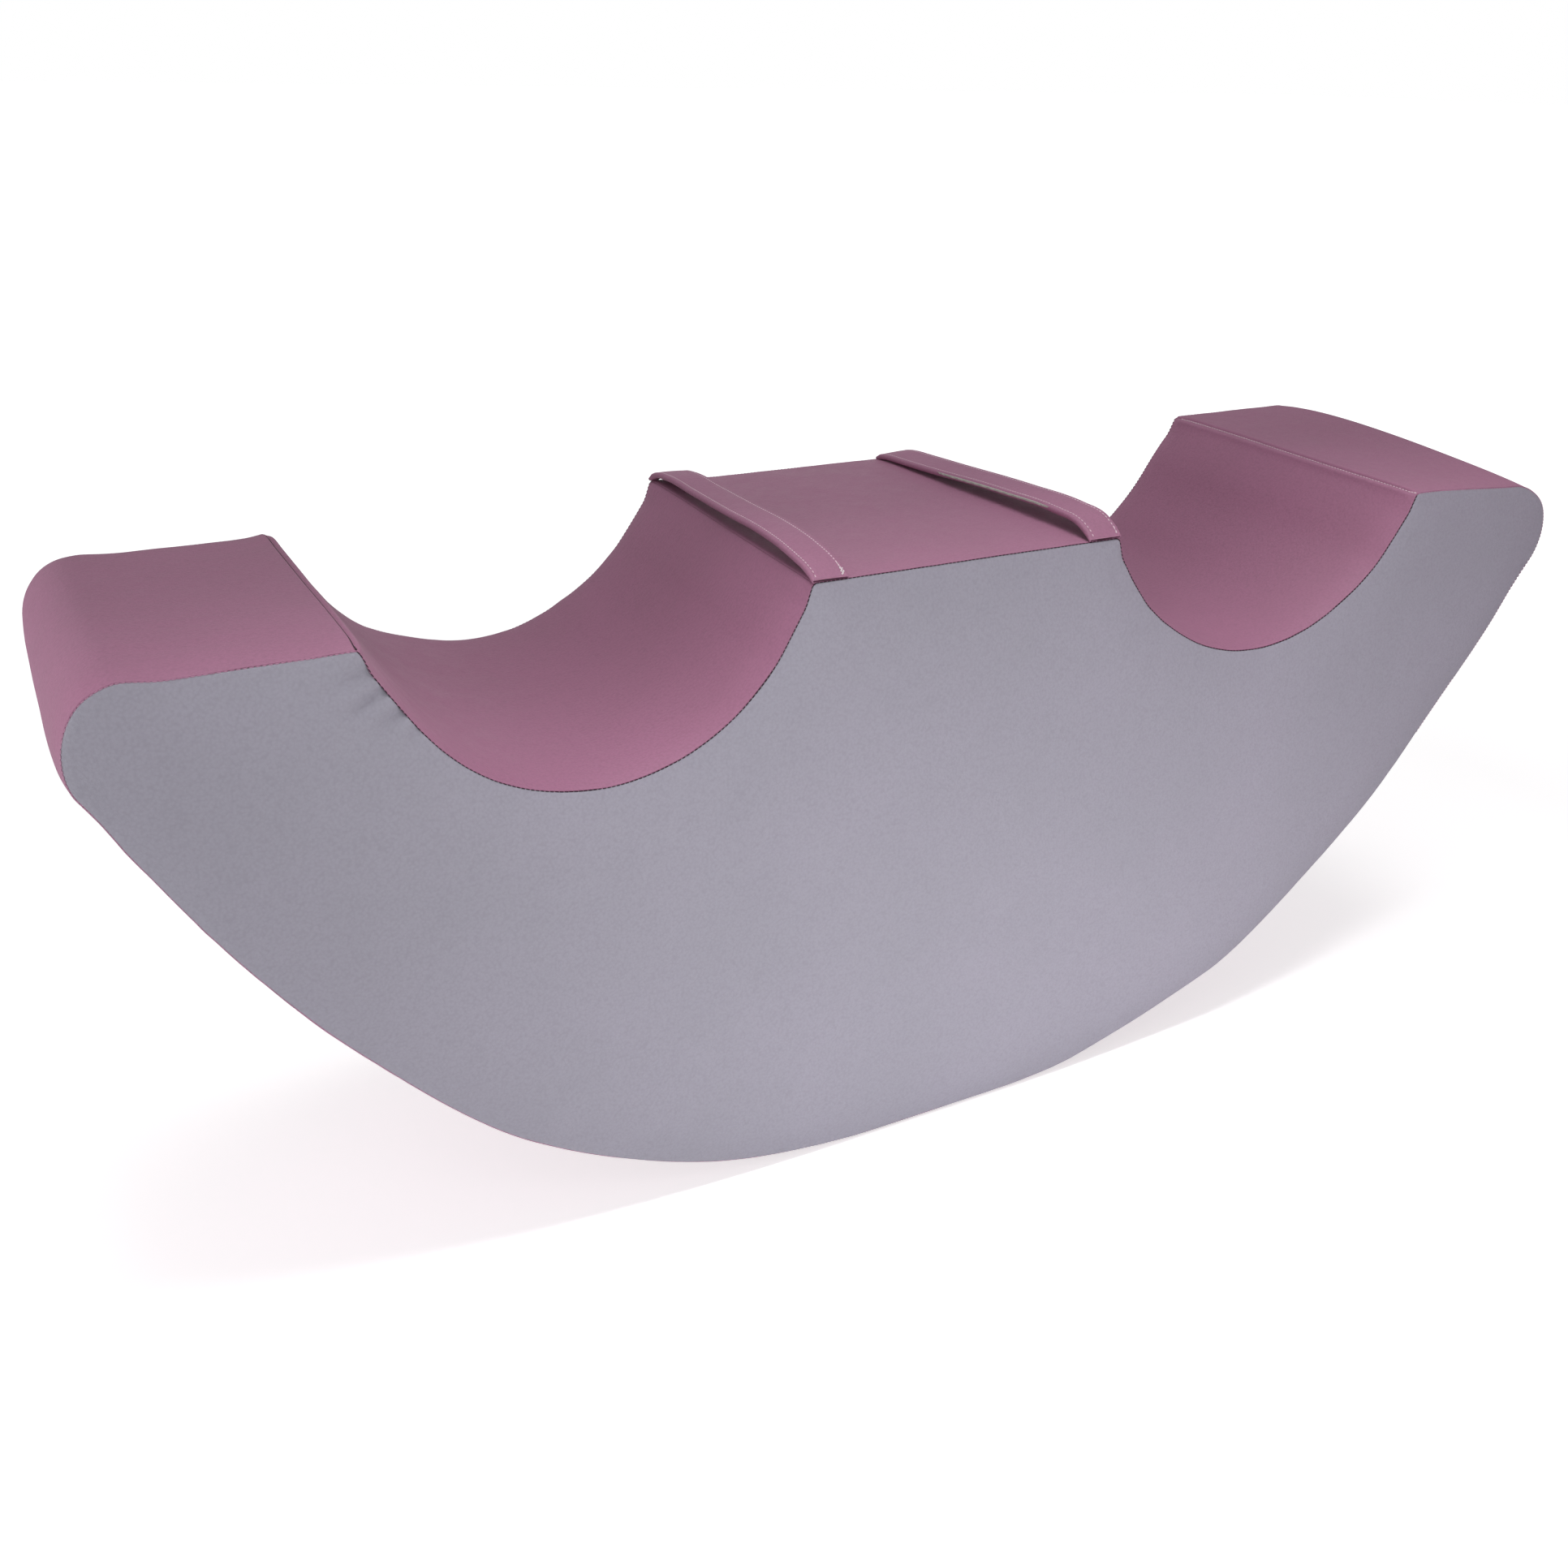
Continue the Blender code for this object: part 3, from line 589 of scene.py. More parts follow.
def settle(points):
    """Points moved as the soft block has settled.

    Its top leans and its edges sink or rise, differently in front and behind. Its left end is fuller
    behind, and the curve underneath is flatter and fuller by turns. The zip stays where it is.
    """
    x, y, z = np.asarray(points, float).T

    def total(rows):
        shifts = 0.0
        for middle, half, soft, shift in np.array(rows) / 1000:
            shifts = shifts + shift * ramp(half - np.abs(x - middle), 0.0, soft)
        return shifts

    behind = ramp(y, -HALF_WIDTH, HALF_WIDTH)
    leaning = (total(FRONT_SHIFT) * (1 - behind) + total(BACK_SHIFT) * behind) * ramp(z, *LEAN_HEIGHTS)
    rising = (total(FRONT_RISE) * (1 - behind) + total(BACK_RISE) * behind) * ramp(z, *RISE_HEIGHTS)

    corner = np.hypot(x + HALF_LENGTH, z - HEIGHT)
    fuller = LEFT_CORNER_FRONT + (LEFT_CORNER_BACK - LEFT_CORNER_FRONT) * behind
    fuller = fuller * ramp(LEFT_CORNER_REACH - corner, 0.0, LEFT_CORNER_REACH * 0.8) * math.sqrt(0.5)

    crown = RIGHT_END_CROWN * (1 - np.minimum(np.abs(y) / HALF_WIDTH, 1) ** 2)
    crown = crown * ramp(x, 0.80 * HALF_LENGTH, HALF_LENGTH) * ramp(z, *END_HEIGHTS)

    from_middle = x - np.clip(x, -FLOOR_FLAT / 2, FLOOR_FLAT / 2)
    below = ROCK_RADIUS - z
    radius = np.maximum(np.hypot(from_middle, below), FINE_STEP)
    outwards = total(UNDERSIDE) * ramp(radius, 0.6 * ROCK_RADIUS, 0.95 * ROCK_RADIUS)
    outwards = outwards * (1 - ramp(z, *END_HEIGHTS)) * (1 - ramp(y, *ZIP_FREE)) / radius
    moved_x = x + leaning - fuller + crown / 2 + outwards * from_middle
    moved_z = z + rising + fuller + crown - outwards * below
    return np.stack([moved_x, y, moved_z], axis=1)


# Meshes

def dress(piece, slot, *nodes):
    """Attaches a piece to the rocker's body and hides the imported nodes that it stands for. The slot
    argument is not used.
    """
    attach(piece, "rocker")
    if nodes:
        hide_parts(*nodes)
    return piece


def plain_mesh(name, points, faces):
    mesh = bpy.data.meshes.new(name)
    mesh.from_pydata(np.asarray(points).tolist(), [], [tuple(map(int, face)) for face in faces])
    return mesh


def add_mesh(name, points, faces, material):
    """A smooth piece in the scene, sharp only where it turns by more than the sharp angle."""
    mesh = plain_mesh(name, points, faces)
    mesh.validate()
    mesh.shade_smooth()
    mesh.set_sharp_from_angle(angle=SHARP_ANGLE)
    mesh.materials.append(material)
    piece = bpy.data.objects.new(name, mesh)
    bpy.context.scene.collection.objects.link(piece)
    return piece


def vertex_normals(points, faces):
    mesh = plain_mesh("normals", points, faces)
    found = np.zeros(len(points) * 3)
    mesh.vertex_normals.foreach_get("vector", found)
    bpy.data.meshes.remove(mesh)
    return found.reshape(-1, 3)


def rim_edges(faces):
    """Edges that only one face has, in that face's direction."""
    edges = {}
    for face in faces:
        for here, ahead in zip(face, (*face[1:], face[0])):
            if (ahead, here) in edges:
                del edges[(ahead, here)]
            else:
                edges[(here, ahead)] = True
    return list(edges)


def shell(name, points, faces, thickness, material):
    """A closed layer of fabric: an outer surface, the same behind it, and a rim between them."""
    faces = [tuple(map(int, face)) for face in faces]
    inner = points - vertex_normals(points, faces) * np.reshape(thickness, (-1, 1))
    count = len(points)
    rims = [(ahead, here, here + count, ahead + count) for here, ahead in rim_edges(faces)]
    behind = [tuple(corner + count for corner in face[::-1]) for face in faces]
    return add_mesh(name, settle(np.vstack([points, inner])), faces + behind + rims, material)


def grid_faces(columns, rows, closed=False):
    """Quads of a grid whose vertices go column by column."""
    faces = []
    for i in range(columns if closed else columns - 1):
        here = i * rows
        ahead = ((i + 1) % columns) * rows
        for j in range(rows - 1):
            faces.append((here + j, here + j + 1, ahead + j + 1, ahead + j))
    return faces


def tube_faces(rings, sides):
    """Faces of a closed tube whose vertices go ring by ring."""
    faces = []
    for here in range(0, (rings - 1) * sides, sides):
        ahead = here + sides
        for k in range(sides):
            after = (k + 1) % sides
            faces.append((here + k, here + after, ahead + after, ahead + k))
    last = (rings - 1) * sides
    return faces + [tuple(range(sides))[::-1], tuple(range(last, last + sides))]


# Rolled seam edges

def rolled(turn_angle, radius):
    """Cross-section of a fabric edge that turns inwards at a seam.

    It gives the distance along the surface from the seam and the depth, from the innermost point out.
    """
    reach = radius / math.tan(turn_angle / 2)
    sweep = np.linspace(math.pi - turn_angle, 0, ROLL_STEPS + 1)
    return np.stack([reach - radius * np.sin(sweep), radius - radius * np.cos(sweep)], axis=1)


def graded(length):
    """Steps across a length, close together at both of its ends."""
    steps = [0.0]
    step = BAND_FIRST_STEP
    while steps[-1] < length / 2:
        steps.append(steps[-1] + step)
        step = min(step * BAND_STEP_GROWTH, BAND_LARGEST_STEP)
    half = np.array(steps) * (length / 2 / steps[-1])
    return np.concatenate([half, length - half[-2::-1]])


def grey_draw(depth):
    """How far a grey side is drawn in at a depth from its seam."""
    return SEAM_IN * np.clip(1 - depth / GREY_REACH, 0, None) ** GREY_POWER


MAUVE_EDGE_SLOPE = math.atan(BAND_POWER * (SEAM_DEPTH + SEAT_SEAM_DEPTH) / 2 / BAND_REACH)
GREY_EDGE_SLOPE = math.atan(GREY_POWER * SEAM_IN / GREY_REACH)


def seam_edge(slope):
    """A panel's rolled edge at a side seam: distances along the panel's flat and below it."""
    along, depth = rolled(math.pi / 4 + slope, ROLL_RADIUS).T
    flat = along * math.cos(slope) + depth * math.sin(slope)
    return flat, depth * math.cos(slope) - along * math.sin(slope)


def side_rows(side):
    """Rolled rows at a side seam as y, extra depth and whether the row is rolled."""
    inwards, depth = seam_edge(MAUVE_EDGE_SLOPE)
    y = side * (HALF_WIDTH - (SEAM_IN + inwards + SEAM_SLACK))
    return [(at_y, below, True) for at_y, below in zip(y, depth)]


def slot_rows(y, towards):
    """Rolled rows at an edge of the zip's slot, where the panel lies towards -Y or +Y."""
    edge = rolled(math.pi / 2, ROLL_RADIUS)
    return [(y + towards * along, depth, True) for along, depth in edge]


def panel_rows(near=None, far=None):
    """Rows across a mauve panel from -Y to +Y; an edge is a side seam unless its y is given."""
    low = side_rows(-1) if near is None else slot_rows(near, 1)
    high = side_rows(1) if far is None else slot_rows(far, -1)
    low_y = low[-1][0]
    high_y = high[-1][0]
    middle = low_y + graded(high_y - low_y)[1:-1]
    return low + [(y, 0.0, False) for y in middle] + high[::-1]


def panel_columns(start, end):
    """Columns along a mauve panel as u, extra depth and whether the column is rolled."""
    edge = rolled(math.pi / 2, ROLL_RADIUS) + np.array([SEAM_SLACK, 0])
    first = [(start + along, depth, True) for along, depth in edge]
    last = [(end - along, depth, True) for along, depth in edge]
    middle = stations(first[-1][0], last[-1][0])[1:-1]
    return first + [(u, 0.0, False) for u in middle] + last[::-1]


def side_reach(y):
    """Distance of a point on a mauve panel from the nearest side seam."""
    return np.maximum(HALF_WIDTH - SEAM_IN - np.abs(y), 0)


def mauve_panel(name, node, start, end, material, near=None, far=None):
    """A mauve cover panel from one cross seam to the next."""
    columns = panel_columns(start, end)
    rows = panel_rows(near, far)
    u, y = np.meshgrid([c[0] for c in columns], [r[0] for r in rows], indexing="ij")
    column_depth, row_depth = np.meshgrid([c[1] for c in columns], [r[1] for r in rows], indexing="ij")
    rolled_here = np.add.outer([c[2] for c in columns], [r[2] for r in rows]) > 0
    u, y = u.ravel(), y.ravel()
    reach = side_reach(y)
    surface = np.where(y < 0, seam_drop(u, -1, reach), seam_drop(u, 1, reach))
    wave = band_wave(place(u, y, 0.0), u, reach)
    depth = surface + wave
    if node.startswith("bottom_panel"):
        depth = np.maximum(depth, surface)
    points = place(u, y, depth + column_depth.ravel() + row_depth.ravel())
    to_edge = np.minimum.reduce([y - y.min(), y.max() - y, u - u.min(), u.max() - u])
    thickness = FOLDED_FABRIC + (FABRIC - FOLDED_FABRIC) * ramp(to_edge, 2 * ROLL_RADIUS, FABRIC_REACH)
    thickness = np.where(rolled_here.ravel(), FOLDED_FABRIC, thickness)
    piece = shell(name, points, grid_faces(len(columns), len(rows)), thickness, material)
    return dress(piece, "mauve_cover", node)


# Grey sides

def inside(points, loop):
    """Which points of the x, z plane lie inside a closed loop."""
    x, z = points.T
    found = np.zeros(len(points), bool)
    for (x0, z0), (x1, z1) in zip(loop, np.roll(loop, -1, axis=0)):
        if z0 == z1:
            continue
        crosses = (z0 > z) != (z1 > z)
        found ^= crosses & (x < x0 + (z - z0) * (x1 - x0) / (z1 - z0))
    return found


def nearest(points, loop, loop_u):
    """Distance to a closed loop and u at the nearest place on it."""
    step = np.roll(loop, -1, axis=0) - loop
    length2 = (step ** 2).sum(axis=1)
    u_step = (np.roll(loop_u, -1) - loop_u) % ROUND
    distance = np.empty(len(points))
    u = np.empty(len(points))
    for first in range(0, len(points), NEAREST_BLOCK):
        part = slice(first, first + NEAREST_BLOCK)
        block = points[part]
        away = block[:, None, :] - loop[None]
        share = np.clip((away * step).sum(axis=2) / length2, 0, 1)
        gap = np.linalg.norm(away - share[..., None] * step, axis=2)
        best = gap.argmin(axis=1)
        row = np.arange(len(block))
        distance[part] = gap[row, best]
        u[part] = loop_u[best] + share[row, best] * u_step[best]
    return distance, u


def scattered(loop, pitch, fine_pitch, fine_reach, edge_gap):
    """Points spread over a loop's inside, closer together round the lips."""

    def hexagonal(step):
        x, z = np.meshgrid(
            np.arange(-HALF_LENGTH, HALF_LENGTH, step), np.arange(0.0, HEIGHT, step * math.sqrt(3) / 2)
        )
        x = x + (np.arange(len(z))[:, None] % 2) * step / 2
        return np.stack([x.ravel(), z.ravel()], axis=1)

    lips = at(np.array([SEAMS[name] for name in LIPS]))

    def near_lip(points):
        gaps = np.linalg.norm(points[:, None] - lips[None, :, :2], axis=2)
        return gaps.min(axis=1) < fine_reach

    coarse = hexagonal(pitch)
    fine = hexagonal(fine_pitch)
    points = np.vstack([coarse[~near_lip(coarse)], fine[near_lip(fine)]])
    points = points[inside(points, loop)]
    distance, _ = nearest(points, loop, np.zeros(len(loop)))
    return points[distance > edge_gap]


def filled_loop(loop, points):
    """Triangles over a loop's inside through the points; vertices are the loop's and then the points."""
    count = len(loop)
    everything = [Vector(point) for point in np.vstack([loop, points])]
    found = delaunay_2d_cdt(everything, [], [list(range(count))], 1, SAME_POINT)
    flat = np.array([tuple(vertex) for vertex in found[0]])
    origin = [ids[0] if ids else -1 for ids in found[3]]
    triangles = []
    for face in found[2]:
        a, b, c = (flat[index] for index in face)
        area = (b[0] - a[0]) * (c[1] - a[1]) - (c[0] - a[0]) * (b[1] - a[1])
        corners = [origin[index] for index in face]
        triangles.append(corners if area > 0 else corners[::-1])
    return triangles


def smoothed(values, faces, fixed, times):
    """Values at the vertices, each moved to the mean of its neighbours' a few times."""
    pairs = np.array([pair for a, b, c in faces for pair in ((a, b), (b, c), (c, a))])
    pairs = np.vstack([pairs, pairs[:, ::-1]])
    weight = np.bincount(pairs[:, 0], minlength=len(values))
    values = values.copy()
    for _ in range(times):
        total = np.bincount(pairs[:, 0], values[pairs[:, 1]], minlength=len(values))
        mean = total / np.maximum(weight, 1)
        values = np.where(fixed, values, mean)
    return values


def grey_side(name, node, side, material):
    """A grey side: rolled at its seam, crowned over the foam's edge and nearly flat inside that."""
    u = stations(0.0, ROUND)[:-1]
    seam = edge_depth(u, side)
    downwards, inwards = seam_edge(GREY_EDGE_SLOPE)
    rings = [(seam + below, inset) for below, inset in zip(downwards + SEAM_SLACK, SEAM_IN + inwards)]
    rings += [(seam + reach, grey_draw(reach)) for reach in GREY_RING_REACHES]
    loops = []
    for depth, inwards in rings:
        loop = place(u, 0.0, depth)
        loop[:, 1] = inwards
        loops.append(loop)
    inner_loop = loops[-1][:, [0, 2]]
    points = scattered(inner_loop, GREY_GRID, GREY_FINE_GRID, GREY_FINE_REACH, GREY_FINE_GRID)
    outline = at(u)[:, :2]
    distance, nearest_u = nearest(points, outline, u)
    inner_reach = distance - edge_depth(nearest_u, side)
    draw = grey_draw(inner_reach)
    triangles = np.array(filled_loop(inner_loop, points))

    flat = np.vstack([np.vstack(loops)[:, [0, 2]], points])
    inwards = np.concatenate([np.vstack(loops)[:, 1], draw])
    reach = np.concatenate(
        [np.repeat([0.0] * (ROLL_STEPS + 1) + list(GREY_RING_REACHES), len(u)), inner_reach]
    )
    all_u = np.concatenate([np.tile(u, len(rings)), nearest_u])
    first_inner = (len(rings) - 1) * len(u)
    triangles = triangles + first_inner
    fixed = np.arange(len(flat)) < first_inner + len(u)
    inwards = smoothed(inwards, triangles, fixed, GREY_SMOOTHINGS)

    at_rest = np.stack([flat[:, 0], np.zeros(len(flat)), flat[:, 1]], axis=1)
    inwards = inwards + grey_wave(at_rest, all_u, reach, side)
    solid = np.stack([flat[:, 0], side * (HALF_WIDTH - inwards), flat[:, 1]], axis=1)

    faces = []
    for ring in range(len(rings) - 1):
        outer = ring * len(u)
        inner = outer + len(u)
        for index in range(len(u)):
            after = (index + 1) % len(u)
            faces.append((outer + index, outer + after, inner + after, inner + index))
    faces += [tuple(triangle) for triangle in triangles]
    if side > 0:
        faces = [face[::-1] for face in faces]
    thickness = FOLDED_FABRIC + (FABRIC - FOLDED_FABRIC) * ramp(reach, 2 * ROLL_RADIUS, FABRIC_REACH)
    return dress(shell(name, solid, faces, thickness, material), "grey_cover", node)


# Threads

def stitches(name, centres, along, up, length, thick, material):
    """Short rounded stitches at given centres, lying along one direction with another upwards."""
    centres, along, up = (np.asarray(value, float) for value in (centres, along, up))
    along = along / np.linalg.norm(along, axis=1, keepdims=True)
    across = np.cross(up, along)
    across /= np.linalg.norm(across, axis=1, keepdims=True)
    up = np.cross(along, across)
    template = []
    for share, wide in STITCH_RINGS:
        dip = -STITCH_DIP * (2 * share) ** 4
        for angle in np.arange(STITCH_SIDES) * 2 * math.pi / STITCH_SIDES:
            template.append((share, wide * math.cos(angle), wide * math.sin(angle) + dip))
    local = np.array(template) * np.array([length, thick / 2, thick / 2])
    points = (
        centres[:, None]
        + local[None, :, :1] * along[:, None]
        + local[None, :, 1:2] * across[:, None]
        + local[None, :, 2:] * up[:, None]
    )
    faces = tube_faces(len(STITCH_RINGS), STITCH_SIDES)
    shifts = np.arange(len(centres)) * len(template)
    everything = [tuple(corner + shift for corner in face) for shift in shifts for face in faces]
    return dress(add_mesh(name, settle(points.reshape(-1, 3)), everything, material), "mauve_cover")


def along_outline(u):
    """Unit vectors along the outline at u."""
    found = at(u)
    return np.stack([-found[:, 3], np.zeros(len(found)), found[:, 2]], axis=1)


def outward(u):
    found = at(u)
    return np.stack([found[:, 2], np.zeros(len(found)), found[:, 3]], axis=1)


def side_seam_thread(name, side, start, end, lift, thick, material):
    """Stitches that show in the groove of a side seam between two distances."""
    u = np.arange(start + STITCH_PITCH, end - STITCH_PITCH / 2, STITCH_PITCH)
    depth = edge_depth(u, side) + THREAD_BELOW - lift
    y = side * (HALF_WIDTH - SEAM_IN - THREAD_OUT + lift)
    up = outward(u) + np.array([0.0, side, 0.0])
    stitches(name, place(u, y, depth), along_outline(u), up, STITCH_LENGTH, thick, material)


def cross_seam_thread(name, u, lift, length, thick, material):
    """Stitches across the rocker along a line at one distance round the outline."""
    edge = HALF_WIDTH - SEAM_IN
    y = np.arange(STITCH_PITCH - edge, edge - 2 * STITCH_PITCH, STITCH_PITCH)
    here = np.full(len(y), u)
    reach = side_reach(y)
    depth = np.where(y < 0, seam_drop(here, -1, reach), seam_drop(here, 1, reach))
    depth = depth + band_wave(place(here, y, 0.0), here, reach) - lift
    along = np.tile([0.0, 1.0, 0.0], (len(y), 1))
    stitches(name, place(here, y, depth), along, outward(here), length, thick, material)


# Handles

def strap_line(measured):
    """A handle's underside across the block as y, z, its normal and its thickness there."""
    end = HALF_WIDTH - SEAM_IN - STRAP_SEAM_GAP
    near = np.concatenate([[0.0, 0.0005, 0.0010], np.arange(0.0020, STRAP_END_LENGTH, STRAP_END_PITCH)])
    far = np.arange(near[-1] + STRAP_PITCH, end, STRAP_PITCH)
    reach = np.concatenate([near, far, [end]])
    drop = seam_drop(np.full(len(reach), SEAMS["right_inner"]), -1, reach)
    y = np.concatenate([reach - end, end - reach[-2::-1]])
    drop = np.concatenate([drop, drop[-2::-1]])
    places, heights = np.array(measured).T / 1000
    z = HEIGHT - drop + STRAP_CLEARANCE + np.maximum(curve(places * end / places[-1], heights, y), 0)
    slope = np.gradient(z, y)
    normal = np.stack([-slope, np.ones(len(slope))], axis=1)
    normal /= np.linalg.norm(normal, axis=1, keepdims=True)
    thick = STRAP_SEWN_THICKNESS + (STRAP_THICKNESS - STRAP_SEWN_THICKNESS) * ramp(
        end - np.abs(y), 0.0, STRAP_SEWN_REACH
    )
    return y, z, normal, thick


def strap_section():
    """Outer face of the folded strap from one hem under the edge and over to the other hem.

    Each point is its place across the strap and its height as a share of the strap's thickness.
    """
    edge = np.linspace(-math.pi / 2, math.pi / 2, 7)
    left_edge = [(STRAP_EDGE * (1 - math.cos(angle)), 0.5 + 0.5 * math.sin(angle)) for angle in edge]
    top = [(0.0022, 0.99), (STRAP_STITCH_IN - 0.0005, 0.96), (STRAP_STITCH_IN, 0.90)]
    top += [(STRAP_STITCH_IN + 0.0006, 0.96), (0.0052, 1.02), (0.0085, 1.05), (STRAP_WIDTH / 2, 1.07)]
    hem = [(STRAP_HEM, 0.0), (STRAP_HEM / 2, 0.0)]
    left = hem + left_edge + top
    right = [(STRAP_WIDTH - across, height) for across, height in left[-2::-1]]
    return np.array(left + right)


def handle_strip(name, line, x, lift, thickness, material):
    """A strip along a handle, from each point's x and its lift over the underside."""
    y, z, normal, _ = line
    points = np.stack([x, y[:, None] + lift * normal[:, :1], z[:, None] + lift * normal[:, 1:]], axis=2)
    faces = [face[::-1] for face in grid_faces(*x.shape)]
    return shell(name, points.reshape(-1, 3), faces, thickness, material)


def handle_stitches(name, line, x, y, lift, thick, material):
    """Stitches that lie along a handle at the places x, y, and stand out of its cover by a lift."""
    line_y, line_z, line_normal, line_thick = line
    across, up = (np.interp(y, line_y, line_normal[:, k]) for k in range(2))
    height = STITCH_REST * np.interp(y, line_y, line_thick) + lift
    centres = np.stack([x, y + height * across, np.interp(y, line_y, line_z) + height * up], axis=1)
    level = np.zeros(len(x))
    along = np.stack([level, up, -across], axis=1)
    stitches(name, centres, along, np.stack([level, across, up], axis=1), STITCH_LENGTH, thick, material)


def strap(side_name, left, measured, pale_edge, materials):
    """A handle: a folded and topstitched cover over a pale webbing, which shows at one edge of some."""
    line = strap_line(measured)
    y, _, _, thick = line
    across, height = strap_section().T
    seed = 51 if left < 0 else 61
    waver = STRAP_WAVER[0] * ripple(y, STRAP_WAVER[1], seed)
    free = ramp(HALF_WIDTH - np.abs(y), SEAM_IN, STRAP_FREE)
    tilt = STRAP_TILT * free + STRAP_TWIST[0] * ripple(y, STRAP_TWIST[1], seed + 1)
    x = left + across + waver[:, None]
    lift = height * thick[:, None] + (across / STRAP_WIDTH - 0.5) * 2 * tilt[:, None]
    cover = handle_strip(side_name + "_handle_cover", line, x, lift, STRAP_FABRIC, materials["mauve"])
    dress(cover, "mauve_cover", side_name + "_strap_cover")

    sewn = np.abs(y) < y[-1] - WEBBING_SHORT
    part = [value[sewn] for value in line]
    showing = pale_edge * ramp(part[0], *WEBBING_SHOWS_FROM) * (1 - ramp(part[0], *WEBBING_HIDDEN_FROM))
    start = left + STRAP_HEM / 2 - (WEBBING_SHOWS + STRAP_HEM / 2) * showing
    x = np.linspace(start, left + STRAP_WIDTH - STRAP_HEM / 2, WEBBING_POINTS, axis=-1)
    sink = STRAP_CLEARANCE / 2 + WEBBING_SAG * showing[:, None] * np.linspace(1, 0, WEBBING_POINTS)
    lift = WEBBING_REST * part[3][:, None] + WEBBING / 2 - sink
    backing = handle_strip(side_name + "_handle_webbing", part, x, lift, WEBBING, materials["webbing"])
    dress(backing, "webbing", side_name + "_strap_backing")

    row_y = np.arange(y[0] + 0.003, y[-1] - 0.002, STITCH_PITCH)
    for edge_name, at_x in (("outer", STRAP_STITCH_IN), ("inner", STRAP_WIDTH - STRAP_STITCH_IN)):
        name = f"{side_name}_handle_{edge_name}_topstitch"
        row_x = left + at_x + np.interp(row_y, y, waver)
        lean = np.interp(row_y, y, tilt) * (at_x / STRAP_WIDTH - 0.5) * 2
        lift = lean + TOPSTITCH_LIFT
        handle_stitches(name, line, row_x, row_y, lift, TOPSTITCH_THREAD, materials["pale_thread"])
    return line


def back_tack(name, line, left, places, material):
    """Dense white stitches where a handle is tacked down; places are x, first and last y, and rows."""
    x = []
    y = []
    for at_x, first, last, rows in places:
        for row in range(rows):
            row_y = np.arange(first, last, STITCH_LENGTH * 0.8) + row * STITCH_LENGTH * 0.35
            x.append(np.full(len(row_y), left + at_x + (row - (rows - 1) / 2) * TACK_THREAD * 0.6))
            y.append(row_y)
    handle_stitches(name, line, np.concatenate(x), np.concatenate(y), 0.0, TACK_THREAD, material)


# Zip

def zip_tape(name, node, side, material):
    """A woven tape under the slot's edge, a little thicker along its beaded inner edge."""
    across = np.append(TAPE_HALF_GAP + np.array(TAPE_ROWS), TAPE_HALF_GAP + TAPE_WIDTH)
    raised = np.array(TAPE_RAISED)
    if side < 0:
        across = -across[::-1]
        raised = raised[::-1]
    y = ZIP_Y + across
    u = np.linspace(BOTTOM[0] + TAPE_END, BOTTOM[1] - TAPE_END, TAPE_COLUMNS)
    grid_u, grid_y = np.meshgrid(u, y, indexing="ij")
    points = place(grid_u.ravel(), grid_y.ravel(), np.tile(TAPE_DEPTH + raised, len(u)))
    piece = shell(name, points, grid_faces(len(u), len(y)), TAPE_THICKNESS, material)
    return dress(piece, "zip_tape", node)


def zip_coil(name, node, side, material):
    """A nylon coil: one round wire wound into a flattened spiral along the tape's inner edge."""
    start = BOTTOM[0] + COIL_END
    end = BOTTOM[1] - COIL_END
    turns = int((end - start) / COIL_PITCH)
    angle = np.arange(turns * COIL_TURN_POINTS + 1) * 2 * math.pi / COIL_TURN_POINTS
    u = start + (end - start) * np.arange(len(angle)) / (len(angle) - 1)
    middle = ZIP_Y + side * (TAPE_HALF_GAP + COIL_HALF_WIDTH)
    rings = []
    for k in range(COIL_WIRE_SIDES):
        turn = 2 * math.pi * k / COIL_WIRE_SIDES
        wide = COIL_HALF_WIDTH - COIL_WIRE + COIL_WIRE * math.cos(turn)
        tall = COIL_HALF_HEIGHT - COIL_WIRE + COIL_WIRE * math.cos(turn)
        y = middle + side * wide * np.cos(angle)
        rings.append(place(u + COIL_WIRE * math.sin(turn), y, COIL_DEPTH + tall * np.sin(angle)))
    points = np.stack(rings, axis=1).reshape(-1, 3)
    faces = tube_faces(len(angle), COIL_WIRE_SIDES)
    if side < 0:
        faces = [face[::-1] for face in faces]
    return dress(add_mesh(name, settle(points), faces, material), "zip_coil", node)


def zip_topstitch(name, y, material):
    """The stitches that hold a tape under the slot's edge."""
    u = np.arange(BOTTOM[0] + ZIP_STITCH_END, BOTTOM[1] - ZIP_STITCH_END, STITCH_PITCH)
    reach = side_reach(np.full(len(u), y))
    depth = band_wave(place(u, y, 0.0), u, reach)
    depth = np.maximum(depth, 0) + seam_drop(u, 1, reach) + ZIP_STITCH_SUNK
    stitches(name, place(u, y, depth), along_outline(u), outward(u), STITCH_LENGTH, THREAD, material)


# Foam

def fold_room(points):
    """How much further in the foam's sides lie where the cover is folded at the left block's corner."""
    lip_x, lip_z = at(SEAMS["left_outer"])[:2]
    away = np.hypot(points[:, 0] - lip_x, points[:, 2] - lip_z)
    return FOLD_ROOM * ramp(FOLD_REACH - away, 0.0, 0.03)


def channel_rows():
    """Rows across the zip's channel: y, the share of the tapes' depth and that of the coils' depth."""
    tapes = TAPE_HALF_GAP + TAPE_WIDTH + CHANNEL_ROOM
    steps = (
        (tapes + CHANNEL_WALL, 0.0, 0.0),
        (tapes, 1.0, 0.0),
        (COIL_CHANNEL_HALF + CHANNEL_WALL, 1.0, 0.0),
        (COIL_CHANNEL_HALF, 1.0, 1.0),
    )
    return [(ZIP_Y + side * away, tape, coil) for side in (-1, 1) for away, tape, coil in steps]


